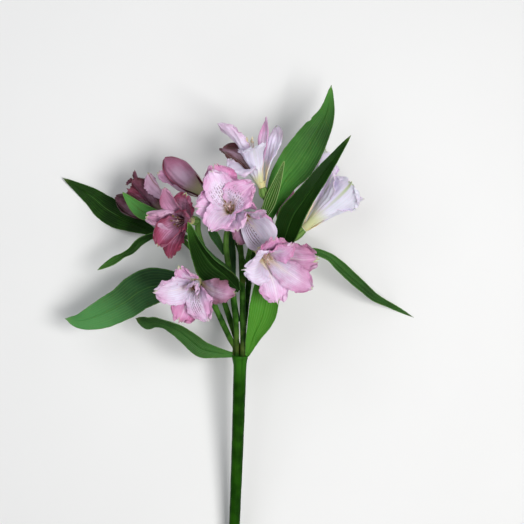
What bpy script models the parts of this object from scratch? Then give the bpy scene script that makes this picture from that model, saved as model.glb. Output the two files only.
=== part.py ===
# Alstroemeria, one cut stem with its whole flower head, lying on its back on a surface.
#
# The stem runs along Y with its cut end at -Y, the flower head faces up (+Z), and the lowest
# points touch z = 0. Lengths below are in millimetres and are turned into metres where the
# meshes are made. Places are given from the crown, the spot where rays and leaves leave the
# stem, with x and y measured from it and z measured from the surface.

import math

import bmesh
import bpy
import numpy as np

MM = 0.001

# Frame: how far the crown lies from the middle of the whole part
CROWN_AT = (1.3, 11.4)

# Stem
STEM_ROUTE = [(-6.6, -191.0, 3.55), (-5.4, -150.0, 8.2), (-3.6, -105.0, 15.6), (-1.6, -55.0, 26.0),
              (0.0, -6.0, 37.0)]
STEM_RADII = [3.4, 3.4, 3.5, 3.8, 4.1]
STEM_SIDES = 10
STEM_RINGS = 12
SCAR_AT = [0.27, 0.42]
SCAR_SWELL = 0.5
CROWN_RADIUS = 5.1
CROWN_LENGTH = 5.0
CROWN_TOP = (0.0, 0.0, 38.0)
CROWN_PROFILE = [(0.6, 0.92), (0.24, 1.0), (0.0, 0.96)]

# Rays, the stalks that carry the flowers
RAY_SIDES = 6
RAY_FOOT_RADIUS = 1.45
RAY_RADIUS = 1.8
PEDICEL_RADIUS = 1.5
RAY_RING = 3.45
RAY_RINGS = 11
FORK_RINGS = 7
RAY_START = 4.5
RAY_SWELLS_BY = 0.25
SEAT_BELOW = 2.5
SEAT_INSIDE = 1.5
TOUCH_GAP = 0.3
OVARY_SIDES = 12
OVARY_RADIUS = 3.0
OVARY_RIB = 0.1
OVARY_PROFILE = [(0.0, 0.55), (0.45, 1.0), (1.0, 0.8)]

# Blades
LEAF_THICK = 0.7
TEPAL_THICK = 0.66
LEAF_ACROSS = 4
LEAF_ALONG = 10
TEPAL_ACROSS = 4
TEPAL_ALONG = 6
TEPAL_CROWD = 1.3
TEPAL_PROFILE = {"outer": (0.74, 0.15, 2.6), "inner": (0.70, 0.13, 2.0)}
TIP_SHARE = 0.3
BEND_HANDLES = (0.42, 0.36)
FOOT_HEIGHT = 0.9
WAVES = 1.4
WAVE_STARTS = (0.4, 2.1)
TEPAL_CLEARANCE = 1.0
LEAF_CLEARANCE = 0.75
LEAF_TIP_HALF = 0.35
CROWN_TOUCH = 0.7
LIFT_OFF = 1.0
SHARP_EDGE = 50

# The cup that the tepals of a bloom grow from, and its stamens
CUP_RADIUS = 2.7
CUP_FOOT_RADIUS = 2.43
CUP_HEIGHT = 3.6
CUP_SIDES = 8
CORE_SIDES = 6
CORE_PROFILE = [(0.04, 0.35), (0.25, 0.8), (0.5, 1.0), (0.75, 0.75), (0.93, 0.2)]
TEPAL_FOOT = {"outer": 2.3, "inner": 1.5}
TEPAL_START = {"outer": 13, "inner": 6}
STAMEN_DISC = 1.15
DISC_SIDES = 6
STAMEN_SIDES = 3
STAMEN_RADIUS = 0.45
STAMEN_FOOT = 0.7
STAMEN_SINK = 0.5
ANTHER_LENGTH = 3.2
ANTHER_RADIUS = 0.9
ANTHER_LEAN = 0.4
STYLE_TIP = 0.6
STYLE_SHARE = 0.9

# Colours
STEM_GREEN = (0.07, 0.22, 0.05)
STALK_GREEN = (0.16, 0.34, 0.08)
LEAF_GREEN = (0.10, 0.27, 0.06)
STAMEN_YELLOW = (0.62, 0.48, 0.22)
PINK = (0.80, 0.42, 0.55)
ROSE = (0.55, 0.16, 0.27)


def unit(v):
    return v / np.linalg.norm(v)


def smooth(a, b, x):
    t = min(1.0, max(0.0, (x - a) / (b - a)))
    return t * t * (3.0 - 2.0 * t)


def spline(points, count):
    # A smooth curve through the points, sampled evenly along its length
    p = [np.array(q, float) for q in points]
    ends = [2 * p[0] - p[1]] + p + [2 * p[-1] - p[-2]]
    fine = []
    for i in range(1, len(ends) - 2):
        a, b, c, d = ends[i - 1:i + 3]
        for k in range(20):
            t = k / 20
            fine.append(0.5 * (2 * b + (c - a) * t + (2 * a - 5 * b + 4 * c - d) * t * t
                               + (3 * b - a - 3 * c + d) * t ** 3))
    fine.append(p[-1])
    fine = np.array(fine)
    steps = np.linalg.norm(np.diff(fine[:, :3], axis=0), axis=1)
    run = np.concatenate([[0.0], np.cumsum(steps)])
    at = np.linspace(0.0, run[-1], count)
    return np.stack([np.interp(at, run, fine[:, k]) for k in range(fine.shape[1])], axis=1)


def bezier(p0, p1, p2, p3, shares):
    # Points at the given shares of the length of a Bezier curve
    t = np.linspace(0.0, 1.0, 40)[:, None]
    fine = (1 - t) ** 3 * p0 + 3 * (1 - t) ** 2 * t * p1 + 3 * (1 - t) * t * t * p2 + t ** 3 * p3
    run = np.concatenate([[0.0], np.cumsum(np.linalg.norm(np.diff(fine, axis=0), axis=1))])
    return np.stack([np.interp(shares * run[-1], run, fine[:, k]) for k in range(2)], axis=1)


# Meshes

# Rings of a tube start square to this direction, which no tube runs along
RING_START = (0.31, 0.17, 0.93)


def to_object(name, verts, faces, colour, rough):
    mesh = bpy.data.meshes.new(name)
    place = np.array([CROWN_AT[0], CROWN_AT[1], 0.0])
    mesh.from_pydata([tuple((np.array(v) + place) * MM) for v in verts], [], faces)
    bm = bmesh.new()
    bm.from_mesh(mesh)
    bmesh.ops.recalc_face_normals(bm, faces=bm.faces)
    bm.to_mesh(mesh)
    bm.free()
    mesh.shade_smooth()
    mesh.materials.append(finish(name, colour, rough))
    piece = bpy.data.objects.new(name, mesh)
    bpy.context.scene.collection.objects.link(piece)
    return piece


def finish(name, colour, rough):
    material = bpy.data.materials.new(name)
    material.use_nodes = True
    shader = material.node_tree.nodes["Principled BSDF"]
    shader.inputs["Base Color"].default_value = (*colour, 1.0)
    shader.inputs["Roughness"].default_value = rough
    shader.inputs["Metallic"].default_value = 0.0
    material.diffuse_color = (*colour, 1.0)
    return material


def tube(route, radii, sides, rib=0.0):
    # A closed tube along a route, with rings square to it and ribs where rib is not 0
    route = np.array(route, float)
    heading = np.gradient(route, axis=0)
    side = np.cross(heading[0], RING_START)
    verts, faces = [], []
    for i, (p, t) in enumerate(zip(route, heading)):
        t = unit(t)
        side = unit(side - t * (side @ t))
        up = np.cross(t, side)
        for k in range(sides):
            turn = 2 * math.pi * k / sides
            r = radii[i] * (1.0 + rib * (1 if k % 2 else -1))
            verts.append(p + side * r * math.cos(turn) + up * r * math.sin(turn))
    for i in range(len(route) - 1):
        for k in range(sides):
            a, b = i * sides + k, i * sides + (k + 1) % sides
            faces.append((a, b, b + sides, a + sides))
    last = (len(route) - 1) * sides
    faces.append(tuple(range(sides - 1, -1, -1)))
    faces.append(tuple(range(last, last + sides)))
    return verts, faces


def blade(grid, thick):
    # A thin closed sheet about a grid of points, cut into triangles alike on both faces
    grid = np.array(grid, float)
    down = np.gradient(grid, axis=0)
    across = np.gradient(grid, axis=1)
    normal = np.cross(across, down)
    normal /= np.linalg.norm(normal, axis=2)[:, :, None]
    rows, cols = grid.shape[:2]
    upper, lower = grid + normal * thick / 2, grid - normal * thick / 2
    verts = list(upper.reshape(-1, 3)) + list(lower.reshape(-1, 3))
    under = rows * cols
    faces = []
    for i in range(rows - 1):
        for j in range(cols - 1):
            a, b, c, d = i * cols + j, i * cols + j + 1, (i + 1) * cols + j + 1, (i + 1) * cols + j
            halves = [(a, b, c), (a, c, d)] if j < cols // 2 else [(a, b, d), (b, c, d)]
            for face in halves:
                faces.append(face)
                faces.append(tuple(under + v for v in reversed(face)))
    rim = [(0, j) for j in range(cols)] + [(i, cols - 1) for i in range(1, rows)]
    rim += [(rows - 1, j) for j in range(cols - 2, -1, -1)] + [(i, 0) for i in range(rows - 2, 0, -1)]
    ids = [i * cols + j for i, j in rim]
    for a, b in zip(ids, ids[1:] + ids[:1]):
        faces.append((b, a, a + under))
        faces.append((b, a + under, b + under))
    return verts, faces


def keep_main_shell(mesh):
    # Loose scraps and sealed hollows of a fused body are dropped
    bm = bmesh.new()
    bm.from_mesh(mesh)
    left = set(bm.verts)
    shells = []
    while left:
        ahead = [left.pop()]
        shell = []
        while ahead:
            vert = ahead.pop()
            shell.append(vert)
            near = {edge.other_vert(vert) for edge in vert.link_edges} & left
            left -= near
            ahead += near
        shells.append(shell)
    shells.sort(key=len)
    for shell in shells[:-1]:
        bmesh.ops.delete(bm, geom=shell, context="VERTS")
    bm.to_mesh(mesh)
    bm.free()


def fuse(name, shapes, colour, rough):
    # One body out of several: the first shape joined with the others by one Boolean union
    base = to_object(name, *shapes[0], colour, rough)
    if len(shapes) == 1:
        return base
    group = bpy.data.collections.new(name + "_repeats")
    bpy.context.scene.collection.children.link(group)
    others = [to_object("%s_%d" % (name, k), *shape, colour, rough) for k, shape in enumerate(shapes[1:])]
    for other in others:
        bpy.context.scene.collection.objects.unlink(other)
        group.objects.link(other)
    join = base.modifiers.new("join", "BOOLEAN")
    join.operation = "UNION"
    join.operand_type = "COLLECTION"
    join.collection = group
    join.solver = "EXACT"
    shaped = base.evaluated_get(bpy.context.evaluated_depsgraph_get())
    joined = bpy.data.meshes.new_from_object(shaped)
    base.modifiers.clear()
    base.data = joined
    for other in others:
        bpy.data.objects.remove(other)
    bpy.data.collections.remove(group)
    keep_main_shell(joined)
    joined.set_sharp_from_angle(angle=math.radians(SHARP_EDGE))
    return base


# Rays: each has a main stalk from the crown, side stalks that fork from it, and an ovary at
# the end of each stalk, under its bloom. A foot angle is counted round the crown, 0 in front.

STEM_HEADING = unit(np.array(STEM_ROUTE[-1]) - np.array(STEM_ROUTE[-2]))


def crown_point(angle, ring, ahead):
    front = unit(np.array((0.0, 0.0, 1.0)) - STEM_HEADING * STEM_HEADING[2])
    right = np.cross(STEM_HEADING, front)
    turn = math.radians(angle)
    out = front * math.cos(turn) + right * math.sin(turn)
    return np.array(CROWN_TOP) + out * ring + STEM_HEADING * ahead


def bloom_axes(bloom):
    axis = unit(np.array(bloom["axis"], float))
    up = np.array(bloom.get("up", (0.0, 1.0, 0.0)), float)
    up = unit(up - axis * (up @ axis))
    return axis, up, np.cross(up, axis)


def ovary_bottom(bloom):
    axis = bloom_axes(bloom)[0]
    return np.array(bloom["base"], float) - axis * (bloom["ovary"] + TOUCH_GAP)


BLOOMS = {
    "a": dict(base=(-4.6, 87.6, 66), axis=(-0.05, 0.10, 1.0), ovary=7.5),
    "b": dict(base=(-0.5, 91.0, 42), axis=(0.33, -0.36, 0.87), ovary=7.0),
    "c": dict(base=(13.8, 104.7, 52), axis=(-0.25, 0.90, 0.30), up=(0, 0, 1), ovary=7.5),
    "d": dict(base=(10.7, 66.2, 58), axis=(0.35, -0.35, 0.87), ovary=7.5),
    "e": dict(base=(-25.4, 47.0, 60), axis=(-0.12, -0.25, 0.96), ovary=7.5),
    "f": dict(base=(-30.0, 84.0, 50), axis=(-0.28, -0.10, 0.95), ovary=7.0),
    "g": dict(base=(-21.1, 99.4, 44), axis=(-0.74, 0.66, 0.06), up=(0, 0, 1), ovary=6.5),
    "h": dict(base=(39.7, 70.2, 27), axis=(0.66, 0.74, 0.05), up=(0, 0, 1), ovary=8.0),
    "i": dict(base=(-43.2, 88.3, 38), axis=(-0.75, 0.65, 0.06), up=(0, 0, 1), ovary=6.0),
    "j": dict(base=(-53.5, 86.0, 18), axis=(-0.85, 0.45, 0.05), up=(0, 0, 1), ovary=5.5),
    "k": dict(base=(25.5, 84.0, 24), axis=(0.20, 0.95, 0.15), up=(0, 0, 1), ovary=5.0),
}

RAYS = {
    "ray_a": dict(foot=-38, stalks={
        "a": [(-2.2, 11, 42.5), (-3.2, 22, 46.5), (-5.5, 45, 51), (-8.4, 66, 52), (-7.6, 78, 52)]}),
    "ray_b": dict(foot=25, stalks={
        "b": [(1.9, 11, 41.5), (2.0, 22, 43), (1.6, 45, 43), (0.4, 66, 37), (-2.0, 82, 32)],
        "d": [(1.6, 45, 43), (4.0, 56, 44.5), (6.3, 66, 46)]}),
    "ray_c": dict(foot=145, stalks={
        "c": [(2.5, 18, 35), (5.5, 45, 33), (9, 70, 33), (13, 86, 39)],
        "g": [(5.5, 45, 33), (-1, 68, 29), (-9, 85, 34)]}),
    "ray_e": dict(foot=-98, stalks={"e": [(-6.0, 10, 40.5), (-10.6, 20, 45.5), (-17.5, 35, 47.5)]}),
    "ray_f": dict(foot=-155, stalks={
        "f": [(-5, 18, 36), (-13, 42, 38), (-21, 62, 38), (-26, 76, 38)],
        "i": [(-21, 62, 38), (-31, 76, 36)],
        "j": [(-13, 42, 38), (-26, 61, 30), (-39, 75, 22)]}),
    "ray_h": dict(foot=85, stalks={
        "h": [(7, 16, 35), (16, 34, 31), (26, 52, 28)],
        "k": [(16, 34, 31), (20, 55, 24), (23, 71, 22)]}),
}


def stalk_route(ray, carried):
    # The first stalk of a ray starts on the crown, the others on a point of the first
    bloom = BLOOMS[carried]
    axis = bloom_axes(bloom)[0]
    foot = crown_point(ray["foot"], RAY_RING, TOUCH_GAP)
    main = carried == list(ray["stalks"])[0]
    start = [foot, foot + STEM_HEADING * RAY_START] if main else []
    seat = [ovary_bottom(bloom) - axis * SEAT_BELOW, ovary_bottom(bloom) + axis * SEAT_INSIDE]
    return spline(start + ray["stalks"][carried] + seat, RAY_RINGS if main else FORK_RINGS)


def make_ray(name, ray):
    shapes = []
    for carried in ray["stalks"]:
        route = stalk_route(ray, carried)
        if shapes:
            radii = [PEDICEL_RADIUS] * len(route)
        else:
            thick = [smooth(0.0, RAY_SWELLS_BY, k / (len(route) - 1)) for k in range(len(route))]
            radii = [RAY_FOOT_RADIUS + (RAY_RADIUS - RAY_FOOT_RADIUS) * t for t in thick]
        shapes.append(tube(route, radii, RAY_SIDES))
        shapes.append(ovary(BLOOMS[carried]))
    return fuse(name, shapes, STALK_GREEN, 0.45)


def ovary(bloom):
    axis = bloom_axes(bloom)[0]
    low = ovary_bottom(bloom)
    route = [low + axis * bloom["ovary"] * s for s, _ in OVARY_PROFILE]
    radii = [OVARY_RADIUS * r for _, r in OVARY_PROFILE]
    return tube(route, radii, OVARY_SIDES, OVARY_RIB)


def stalk_capsules():
    # Every stalk and ovary as lines with a radius, for bending blades clear of them
    lines = []
    for ray in RAYS.values():
        for carried in ray["stalks"]:
            route = stalk_route(ray, carried)
            radius = RAY_RADIUS if carried == list(ray["stalks"])[0] else PEDICEL_RADIUS
            lines += [(a, b, radius) for a, b in zip(route[:-1], route[1:])]
            bloom = BLOOMS[carried]
            lines.append((ovary_bottom(bloom), np.array(bloom["base"], float), OVARY_RADIUS))
    top = np.array(CROWN_TOP)
    lines.append((top - STEM_HEADING * CROWN_LENGTH, top, CROWN_RADIUS - CROWN_TOUCH))
    return lines


def push_clear(grid, capsules, clearance):
    for row in grid:
        for point in row:
            for a, b, radius in capsules:
                along = b - a
                t = min(1.0, max(0.0, (point - a) @ along / (along @ along)))
                away = point - (a + along * t)
                gap = np.linalg.norm(away)
                if 1e-6 < gap < radius + clearance:
                    point += away / gap * (radius + clearance - gap)
    return grid


# Tepals. A tepal leaves the cup at its clock hour, seen from the front of the bloom, and its
# tip lies reach from the bloom's axis and rise along it. half is half its greatest width, lip
# the heading of the tip from the axis, start that of the foot. Across, it follows the round of
# the funnel, and cup curls it further towards the axis, in the middle and at the tip. wave is
# the height of its ripples, skew moves the tip sideways and twist turns the blade on its rib.

def tepal(clock, reach, rise, half, kind="outer", lip=75, start=None, cup=(0, 8), wave=0.8, skew=0.0,
          twist=0.0):
    start = TEPAL_START[kind] if start is None else start
    return dict(clock=clock, reach=reach, rise=rise, half=half, kind=kind, lip=lip, start=start, cup=cup,
                wave=wave, skew=skew, twist=twist)


def tepal_width(kind, s):
    # Share of the greatest width at a share s of the length: a narrow claw, then a round blade
    widest, claw, power = TEPAL_PROFILE[kind]
    if s < widest:
        return claw + (1 - claw) * smooth(0.08, widest, s) ** 0.85
    past = (s - widest) / (1 - widest)
    return max(TIP_SHARE, (1 - past ** power) ** 0.55)


def tepal_grid(bloom, t, across, along):
    axis, up, right = bloom_axes(bloom)
    turn = math.radians(t["clock"] * 30)
    out = up * math.cos(turn) + right * math.sin(turn)
    side = -up * math.sin(turn) + right * math.cos(turn)
    foot, tip = np.array((TEPAL_FOOT[t["kind"]], FOOT_HEIGHT)), np.array((t["reach"], t["rise"]))
    chord = np.linalg.norm(tip - foot)
    start, lip = math.radians(t["start"]), math.radians(t["lip"])
    p1 = foot + BEND_HANDLES[0] * chord * np.array((math.sin(start), math.cos(start)))
    p2 = tip - BEND_HANDLES[1] * chord * np.array((math.sin(lip), math.cos(lip)))
    shares = 1.0 - np.linspace(1.0, 0.0, along + 1) ** TEPAL_CROWD
    midrib = bezier(foot, p1, p2, tip, shares)
    heading = np.gradient(midrib, axis=0)
    heading /= np.linalg.norm(heading, axis=1)[:, None]
    grid = []
    for i, s in enumerate(shares):
        half = t["half"] * tepal_width(t["kind"], s)
        funnel = math.degrees(half * heading[i, 1] / max(midrib[i, 0], half * 0.6))
        more = t["cup"][0] * smooth(0.1, 0.5, s) + (t["cup"][1] - t["cup"][0]) * smooth(0.55, 1.0, s)
        curl = funnel + more
        centre = np.array(bloom["base"]) + out * midrib[i, 0] + axis * midrib[i, 1]
        centre = centre + side * t["skew"] * s * s
        face = axis * heading[i, 0] - out * heading[i, 1]
        lean = math.radians(t["twist"]) * s * s
        wide = side * math.cos(lean) + face * math.sin(lean)
        high = face * math.cos(lean) - side * math.sin(lean)
        row = []
        for j in range(across + 1):
            u = 2.0 * j / across - 1.0
            # An arc whose heading turns by curl from the midrib to the edge
            bend = math.radians(max(curl, 0.01))
            x = math.sin(bend * u) / bend
            n = (1.0 - math.cos(bend * u)) / bend
            ripple = t["wave"] * abs(u) ** 2.5 * smooth(0.4, 0.8, s)
            ripple *= math.sin(math.tau * WAVES * s + WAVE_STARTS[u > 0] + t["clock"])
            row.append(centre + wide * x * half + high * (n * half + ripple))
        grid.append(row)
    return np.array(grid)


TEPALS = {
    "a": [tepal(0.4, 27, 28, 11.5, lip=70, skew=-3.0),
          tepal(5.4, 17, 28, 8.5, lip=66, cup=(0, 14)),
          tepal(9.1, 20, 27, 10.0, lip=80),
          tepal(11.1, 25, 34, 9.5, "inner", lip=80),
          tepal(2.1, 19, 34, 9.5, "inner", lip=75),
          tepal(7.2, 20, 33, 8.0, "inner", lip=78)],
    "b": [tepal(3.2, 18, 27, 9.0, lip=74),
          tepal(7.2, 15, 24, 7.5, lip=74),
          tepal(11.4, 12, 20, 7.0, lip=56),
          tepal(5.4, 12.5, 31, 7.5, "inner", lip=74, start=14),
          tepal(1.3, 11, 27, 4.0, "inner", lip=50),
          tepal(9.3, 8, 23, 3.5, "inner", lip=40)],
    "c": [tepal(11.8, 17, 32, 11.0, "inner", lip=50, start=13, cup=(4, 10)),
          tepal(4.4, 19, 28, 9.0, lip=70),
          tepal(8.8, 20, 35, 8.5, lip=35, cup=(6, 26), twist=30),
          tepal(1.3, 27, 22, 8.0, lip=95, start=22),
          tepal(2.9, 15, 46, 7.5, "inner", lip=28, cup=(10, 26), twist=-50),
          tepal(6.7, 16, 40, 5.5, "inner", lip=22, cup=(6, 26))],
    "d": [tepal(11.4, 17, 26, 9.0, lip=80),
          tepal(2.8, 28, 30, 11.0, lip=78),
          tepal(5.3, 25, 28, 10.5, lip=88),
          tepal(0.9, 17, 33, 6.0, "inner", lip=74, start=12),
          tepal(8.6, 18, 34, 10.5, "inner", lip=72, start=16),
          tepal(3.9, 28.5, 33, 8.5, "inner", lip=88)],
    "e": [tepal(11.2, 18, 27, 8.5, lip=78, cup=(4, 24)),
          tepal(3.1, 28, 28, 8.5, lip=84, cup=(0, 20)),
          tepal(6.4, 21, 28, 9.0, lip=85),
          tepal(1.1, 15, 33, 6.5, "inner", lip=70),
          tepal(9.2, 21, 34, 9.0, "inner", lip=80, start=9),
          tepal(4.9, 19, 33, 8.0, "inner", lip=78, start=9)],
    "f": [tepal(9.4, 21, 28, 7.5, lip=62, cup=(14, 50)),
          tepal(0.9, 16, 30, 8.5, lip=48, cup=(0, 16)),
          tepal(6.0, 20, 25, 7.0, lip=84),
          tepal(7.0, 16, 32, 7.5, "inner", lip=62),
          tepal(11.3, 17, 36, 6.0, "inner", lip=48, cup=(6, 30)),
          tepal(2.9, 11, 31, 6.0, "inner", lip=40)],
    "g": [tepal(0.2, 3.2, 35, 10.0, lip=-38, start=42, cup=(0, 0), wave=0, twist=14),
          tepal(4.2, 3.2, 35, 10.0, lip=-38, start=42, cup=(0, 0), wave=0, twist=14),
          tepal(8.2, 3.2, 35, 10.0, lip=-38, start=42, cup=(0, 0), wave=0, twist=14),
          tepal(3.4, 12.5, 32, 6.0, lip=0, start=52, cup=(0, 16))],
    "h": [tepal(0.2, 12, 46, 12.0, lip=34, cup=(0, 0)),
          tepal(4.0, 25, 44, 9.5, lip=52),
          tepal(8.0, 16, 40, 9.5, lip=46),
          tepal(2.2, 10, 50, 6.0, "inner", lip=22, start=11),
          tepal(6.1, 9, 46, 5.5, "inner", lip=24, start=11),
          tepal(10.0, 8, 47, 5.5, "inner", lip=22, start=11)],
    "i": [tepal(0.4, 7, 31, 7.0, lip=8, start=26, cup=(0, 0)),
          tepal(4.4, 8, 30, 7.0, lip=10, start=26, cup=(0, 0)),
          tepal(8.4, 7, 30, 7.0, lip=10, start=26, cup=(0, 0)),
          tepal(10.0, 7, 40, 4.5, "inner", lip=24, start=8, cup=(0, 24)),
          tepal(4.0, 4, 36, 4.0, "inner", lip=16, start=8, cup=(0, 24))],
    "j": [tepal(0.4, 2.6, 29, 8.0, lip=-35, start=40, cup=(0, 0), wave=0, twist=14),
          tepal(4.4, 2.6, 29, 8.0, lip=-35, start=40, cup=(0, 0), wave=0, twist=14),
          tepal(8.4, 2.6, 29, 8.0, lip=-35, start=40, cup=(0, 0), wave=0, twist=14)],
    "k": [tepal(0.0, 2.2, 25, 6.2, lip=-35, start=36, cup=(0, 0), wave=0, twist=14),
          tepal(4.0, 2.2, 25, 6.2, lip=-35, start=36, cup=(0, 0), wave=0, twist=14),
          tepal(8.0, 2.2, 25, 6.2, lip=-35, start=36, cup=(0, 0), wave=0, twist=14)],
}

TEPAL_COLOURS = {"f": ROSE, "g": ROSE, "i": ROSE, "j": ROSE, "k": ROSE}
WITH_CORE = {"g": 5.6, "j": 4.4, "k": 3.4}


def make_perianth(letter, capsules):
    bloom = BLOOMS[letter]
    axis = bloom_axes(bloom)[0]
    base = np.array(bloom["base"], float)
    cup = tube([base, base + axis * CUP_HEIGHT], [CUP_FOOT_RADIUS, CUP_RADIUS], CUP_SIDES)
    shapes = [cup]
    if letter in WITH_CORE:
        length = TEPALS[letter][0]["rise"]
        route = [base + axis * length * s for s, _ in CORE_PROFILE]
        shapes.append(tube(route, [WITH_CORE[letter] * r for _, r in CORE_PROFILE], CORE_SIDES))
    others = [c for c in capsules if np.linalg.norm(c[1] - base) > 0.1]
    for t in TEPALS[letter]:
        grid = push_clear(tepal_grid(bloom, t, TEPAL_ACROSS, TEPAL_ALONG), others, TEPAL_CLEARANCE)
        shapes.append(blade(grid, TEPAL_THICK))
    return fuse("tepals_" + letter, shapes, TEPAL_COLOURS.get(letter, PINK), 0.5)


# Stamens of the open blooms: a small disc, six filaments with anthers, and the style. Each
# bloom has the length of its stamens and how far their tips stand from its axis.

STAMENS = {"a": (18, 4.5), "b": (9, 1.5), "c": (30, 4.0), "d": (19, 4.2), "e": (11, 1.2), "f": (18, 3.2),
           "h": (22, 1.6)}


def make_stamens(letter):
    bloom = BLOOMS[letter]
    axis, up, right = bloom_axes(bloom)
    base = np.array(bloom["base"], float) + axis * (CUP_HEIGHT + TOUCH_GAP)
    shapes = [tube([base, base + axis], [STAMEN_DISC, STAMEN_DISC], DISC_SIDES)]
    length, spread = STAMENS[letter]
    for k in range(7):
        style = k == 6
        turn = math.tau * (k + 0.5) / 6
        out = up * math.cos(turn) + right * math.sin(turn)
        tip_out = STYLE_TIP if style else spread * (0.7 + 0.15 * (k % 3))
        foot = 0.0 if style else STAMEN_FOOT
        tall = length * (STYLE_SHARE if style else 1.0 - 0.07 * (k % 2))
        route = [base + axis * (STAMEN_SINK + tall * s) + out * (foot + (tip_out - foot) * s ** 1.6)
                 for s in (0.0, 0.5, 1.0)]
        radii = [STAMEN_RADIUS] * 3
        if not style:
            lean = unit(out * ANTHER_LEAN + axis)
            route += [route[-1] + lean * ANTHER_LENGTH * 0.4, route[-1] + lean * ANTHER_LENGTH]
            radii = [STAMEN_RADIUS] * 3 + [ANTHER_RADIUS, STAMEN_RADIUS]
        shapes.append(tube(route, radii, STAMEN_SIDES))
    return fuse("stamens_" + letter, shapes, STAMEN_YELLOW, 0.6)


# Leaves. Each station along a leaf is x, y, z, half its width there, and how far the blade is
# turned about its own line from facing straight up, in degrees. curl is how steeply the two
# halves rise from the midrib, along the number of steps where a leaf has its own, and a leaf
# that rests lies on the surface with its lowest part.

LEAVES = {
    "leaf_top_broad": dict(stations=[
        (14.4, 75, 34, 1.0, 0), (19.8, 92, 40, 4.5, 5), (27, 108, 44, 9.3, 8), (36.5, 121, 47, 11.9, 5),
        (47, 138, 49, 9.4, 0), (54, 151.5, 48, 5.0, -5), (57, 168.5, 45, 0.5, -5)], curl=16),
    "leaf_right_dark": dict(stations=[
        (22, 46.5, 30.5, 1.2, 0), (24.5, 60, 40, 3.5, 10), (27.5, 72, 48, 6.3, 15), (32.5, 86, 54, 8.2, 15),
        (38.5, 95, 57, 7.4, 15), (46, 105.5, 60, 6.0, 15), (54, 116.5, 60, 4.4, 15),
        (68.6, 136.4, 57, 0.5, 15)], curl=18),
    "leaf_centre_narrow": dict(stations=[
        (12.8, 82.5, 39.8, 0.8, 0), (16, 89, 48, 2.6, 0), (18.8, 96, 53, 4.0, 0), (23, 107, 57, 2.8, 0),
        (27.5, 120.5, 58, 0.4, 0)], curl=24, along=7),
    "leaf_right_drooping": dict(stations=[
        (28.5, 54.5, 29.5, 1.2, 0), (34, 60, 38, 2.2, 0), (44, 64.5, 46, 2.8, 10), (54.5, 61.5, 49, 3.0, 15),
        (61, 56, 46.5, 4.2, 15), (69, 49, 38, 4.3, 10), (77.6, 42, 27.5, 3.8, 5), (86, 35.5, 16.5, 3.1, 0),
        (95, 31, 6.0, 2.1, 0), (102, 27.5, 0.2, 1.6, 0), (111.9, 22.3, -0.2, 0.4, 0)], curl=34, rests=True),
    "leaf_left_dark": dict(stations=[
        (-40.5, 73.5, 19.5, 1.2, 0), (-52, 76, 14.5, 2.2, 0), (-61, 79.8, 10.5, 4.0, 0),
        (-71.5, 84.5, 5.0, 6.8, 0), (-80, 88.5, 0.6, 8.4, 0), (-88, 93.5, -0.5, 8.0, 0),
        (-97, 101, 0.3, 5.6, 0), (-114.4, 112.3, 3.5, 0.5, 0)], curl=6, rests=True),
    "leaf_left_curled": dict(stations=[
        (-31.5, 73.2, 35.5, 1.2, 0), (-40, 75.5, 38, 1.8, 10), (-49, 76.5, 38, 2.2, 30),
        (-56.5, 74.5, 37, 2.8, 40), (-63.5, 71, 36, 3.4, 40), (-68, 65.8, 35, 2.4, 20),
        (-73, 62.6, 34, 1.8, -10), (-80.5, 58.2, 33, 2.6, -20), (-89.9, 53.2, 31, 0.4, -20)], curl=20),
    "leaf_left_big": dict(stations=[
        (-14.5, 43.5, 38.5, 1.2, 0), (-23, 42, 40, 2.6, 0), (-33, 42, 41, 5.5, -5),
        (-43, 43.5, 41.5, 9.5, -8), (-54, 43, 41.5, 12.0, -8), (-63, 39.5, 40.5, 12.0, -5),
        (-73, 32.5, 38.5, 10.8, 0), (-88, 25, 36, 9.0, 5), (-100.5, 21.2, 33, 5.0, 5),
        (-110.5, 22.5, 30, 0.6, 5)], curl=14),
    "leaf_left_low": dict(stations=[
        (-5.6, 0.4, 39.5, 1.8, 0), (-16.1, 2.2, 44, 3.9, 5), (-24.1, 4.5, 46, 5.6, 8),
        (-32.2, 11, 46.5, 5.0, 5), (-39.1, 16, 46, 4.2, 15), (-46.5, 19, 44, 4.0, 35),
        (-54, 21, 41, 5.0, 62), (-62, 23.5, 37, 0.6, 62)], curl=16),
    "leaf_centre_rolled": dict(stations=[
        (-0.6, 40.5, 49.4, 1.2, 0), (-6.8, 49.8, 58.5, 5.0, 10), (-15, 58.2, 66, 8.2, 15),
        (-21.6, 64.3, 73, 7.2, 15), (-26.9, 72.8, 80, 4.4, 10), (-30.7, 82.4, 87, 0.4, 0)], curl=30),
    "leaf_right_of_stem": dict(stations=[
        (5.2, 2.0, 42.5, 1.8, 0), (8.8, 12.8, 47, 5.2, 0), (13.2, 23.5, 50, 8.8, 0),
        (15.4, 33.4, 52, 9.6, 0), (16.6, 44, 51.5, 8.0, 0), (17.8, 54.5, 49, 5.0, 0),
        (19.0, 64.4, 45, 0.5, 0)], curl=22),
    "leaf_left_small": dict(stations=[
        (-33.6, 78.6, 38.3, 1.0, 0), (-41, 81.5, 45, 2.0, 0), (-47, 84.5, 48, 3.0, 0), (-53, 87, 49, 4.4, 0),
        (-60, 89.5, 49, 5.2, 0), (-66, 94, 48, 3.8, 0), (-73, 101.7, 46, 0.4, 0)], curl=24, along=8),
    "leaf_behind_narrow": dict(stations=[
        (-0.4, 21, 41.6, 0.8, 0), (-4.2, 36, 40, 2.0, 0), (-5.2, 50, 40, 2.7, 0), (-5.2, 64, 41, 2.7, 0),
        (-6.0, 78, 41, 1.9, 0), (-7.5, 90, 40, 0.4, 0)], curl=18, along=7),
    "leaf_bract": dict(stations=[
        (-9.5, 63, 51, 1.0, 0), (-13, 70, 50, 2.4, 0), (-16.5, 76, 50, 2.8, 0), (-21, 84, 48, 0.4, 0)],
        curl=22, along=5),
}


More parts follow.
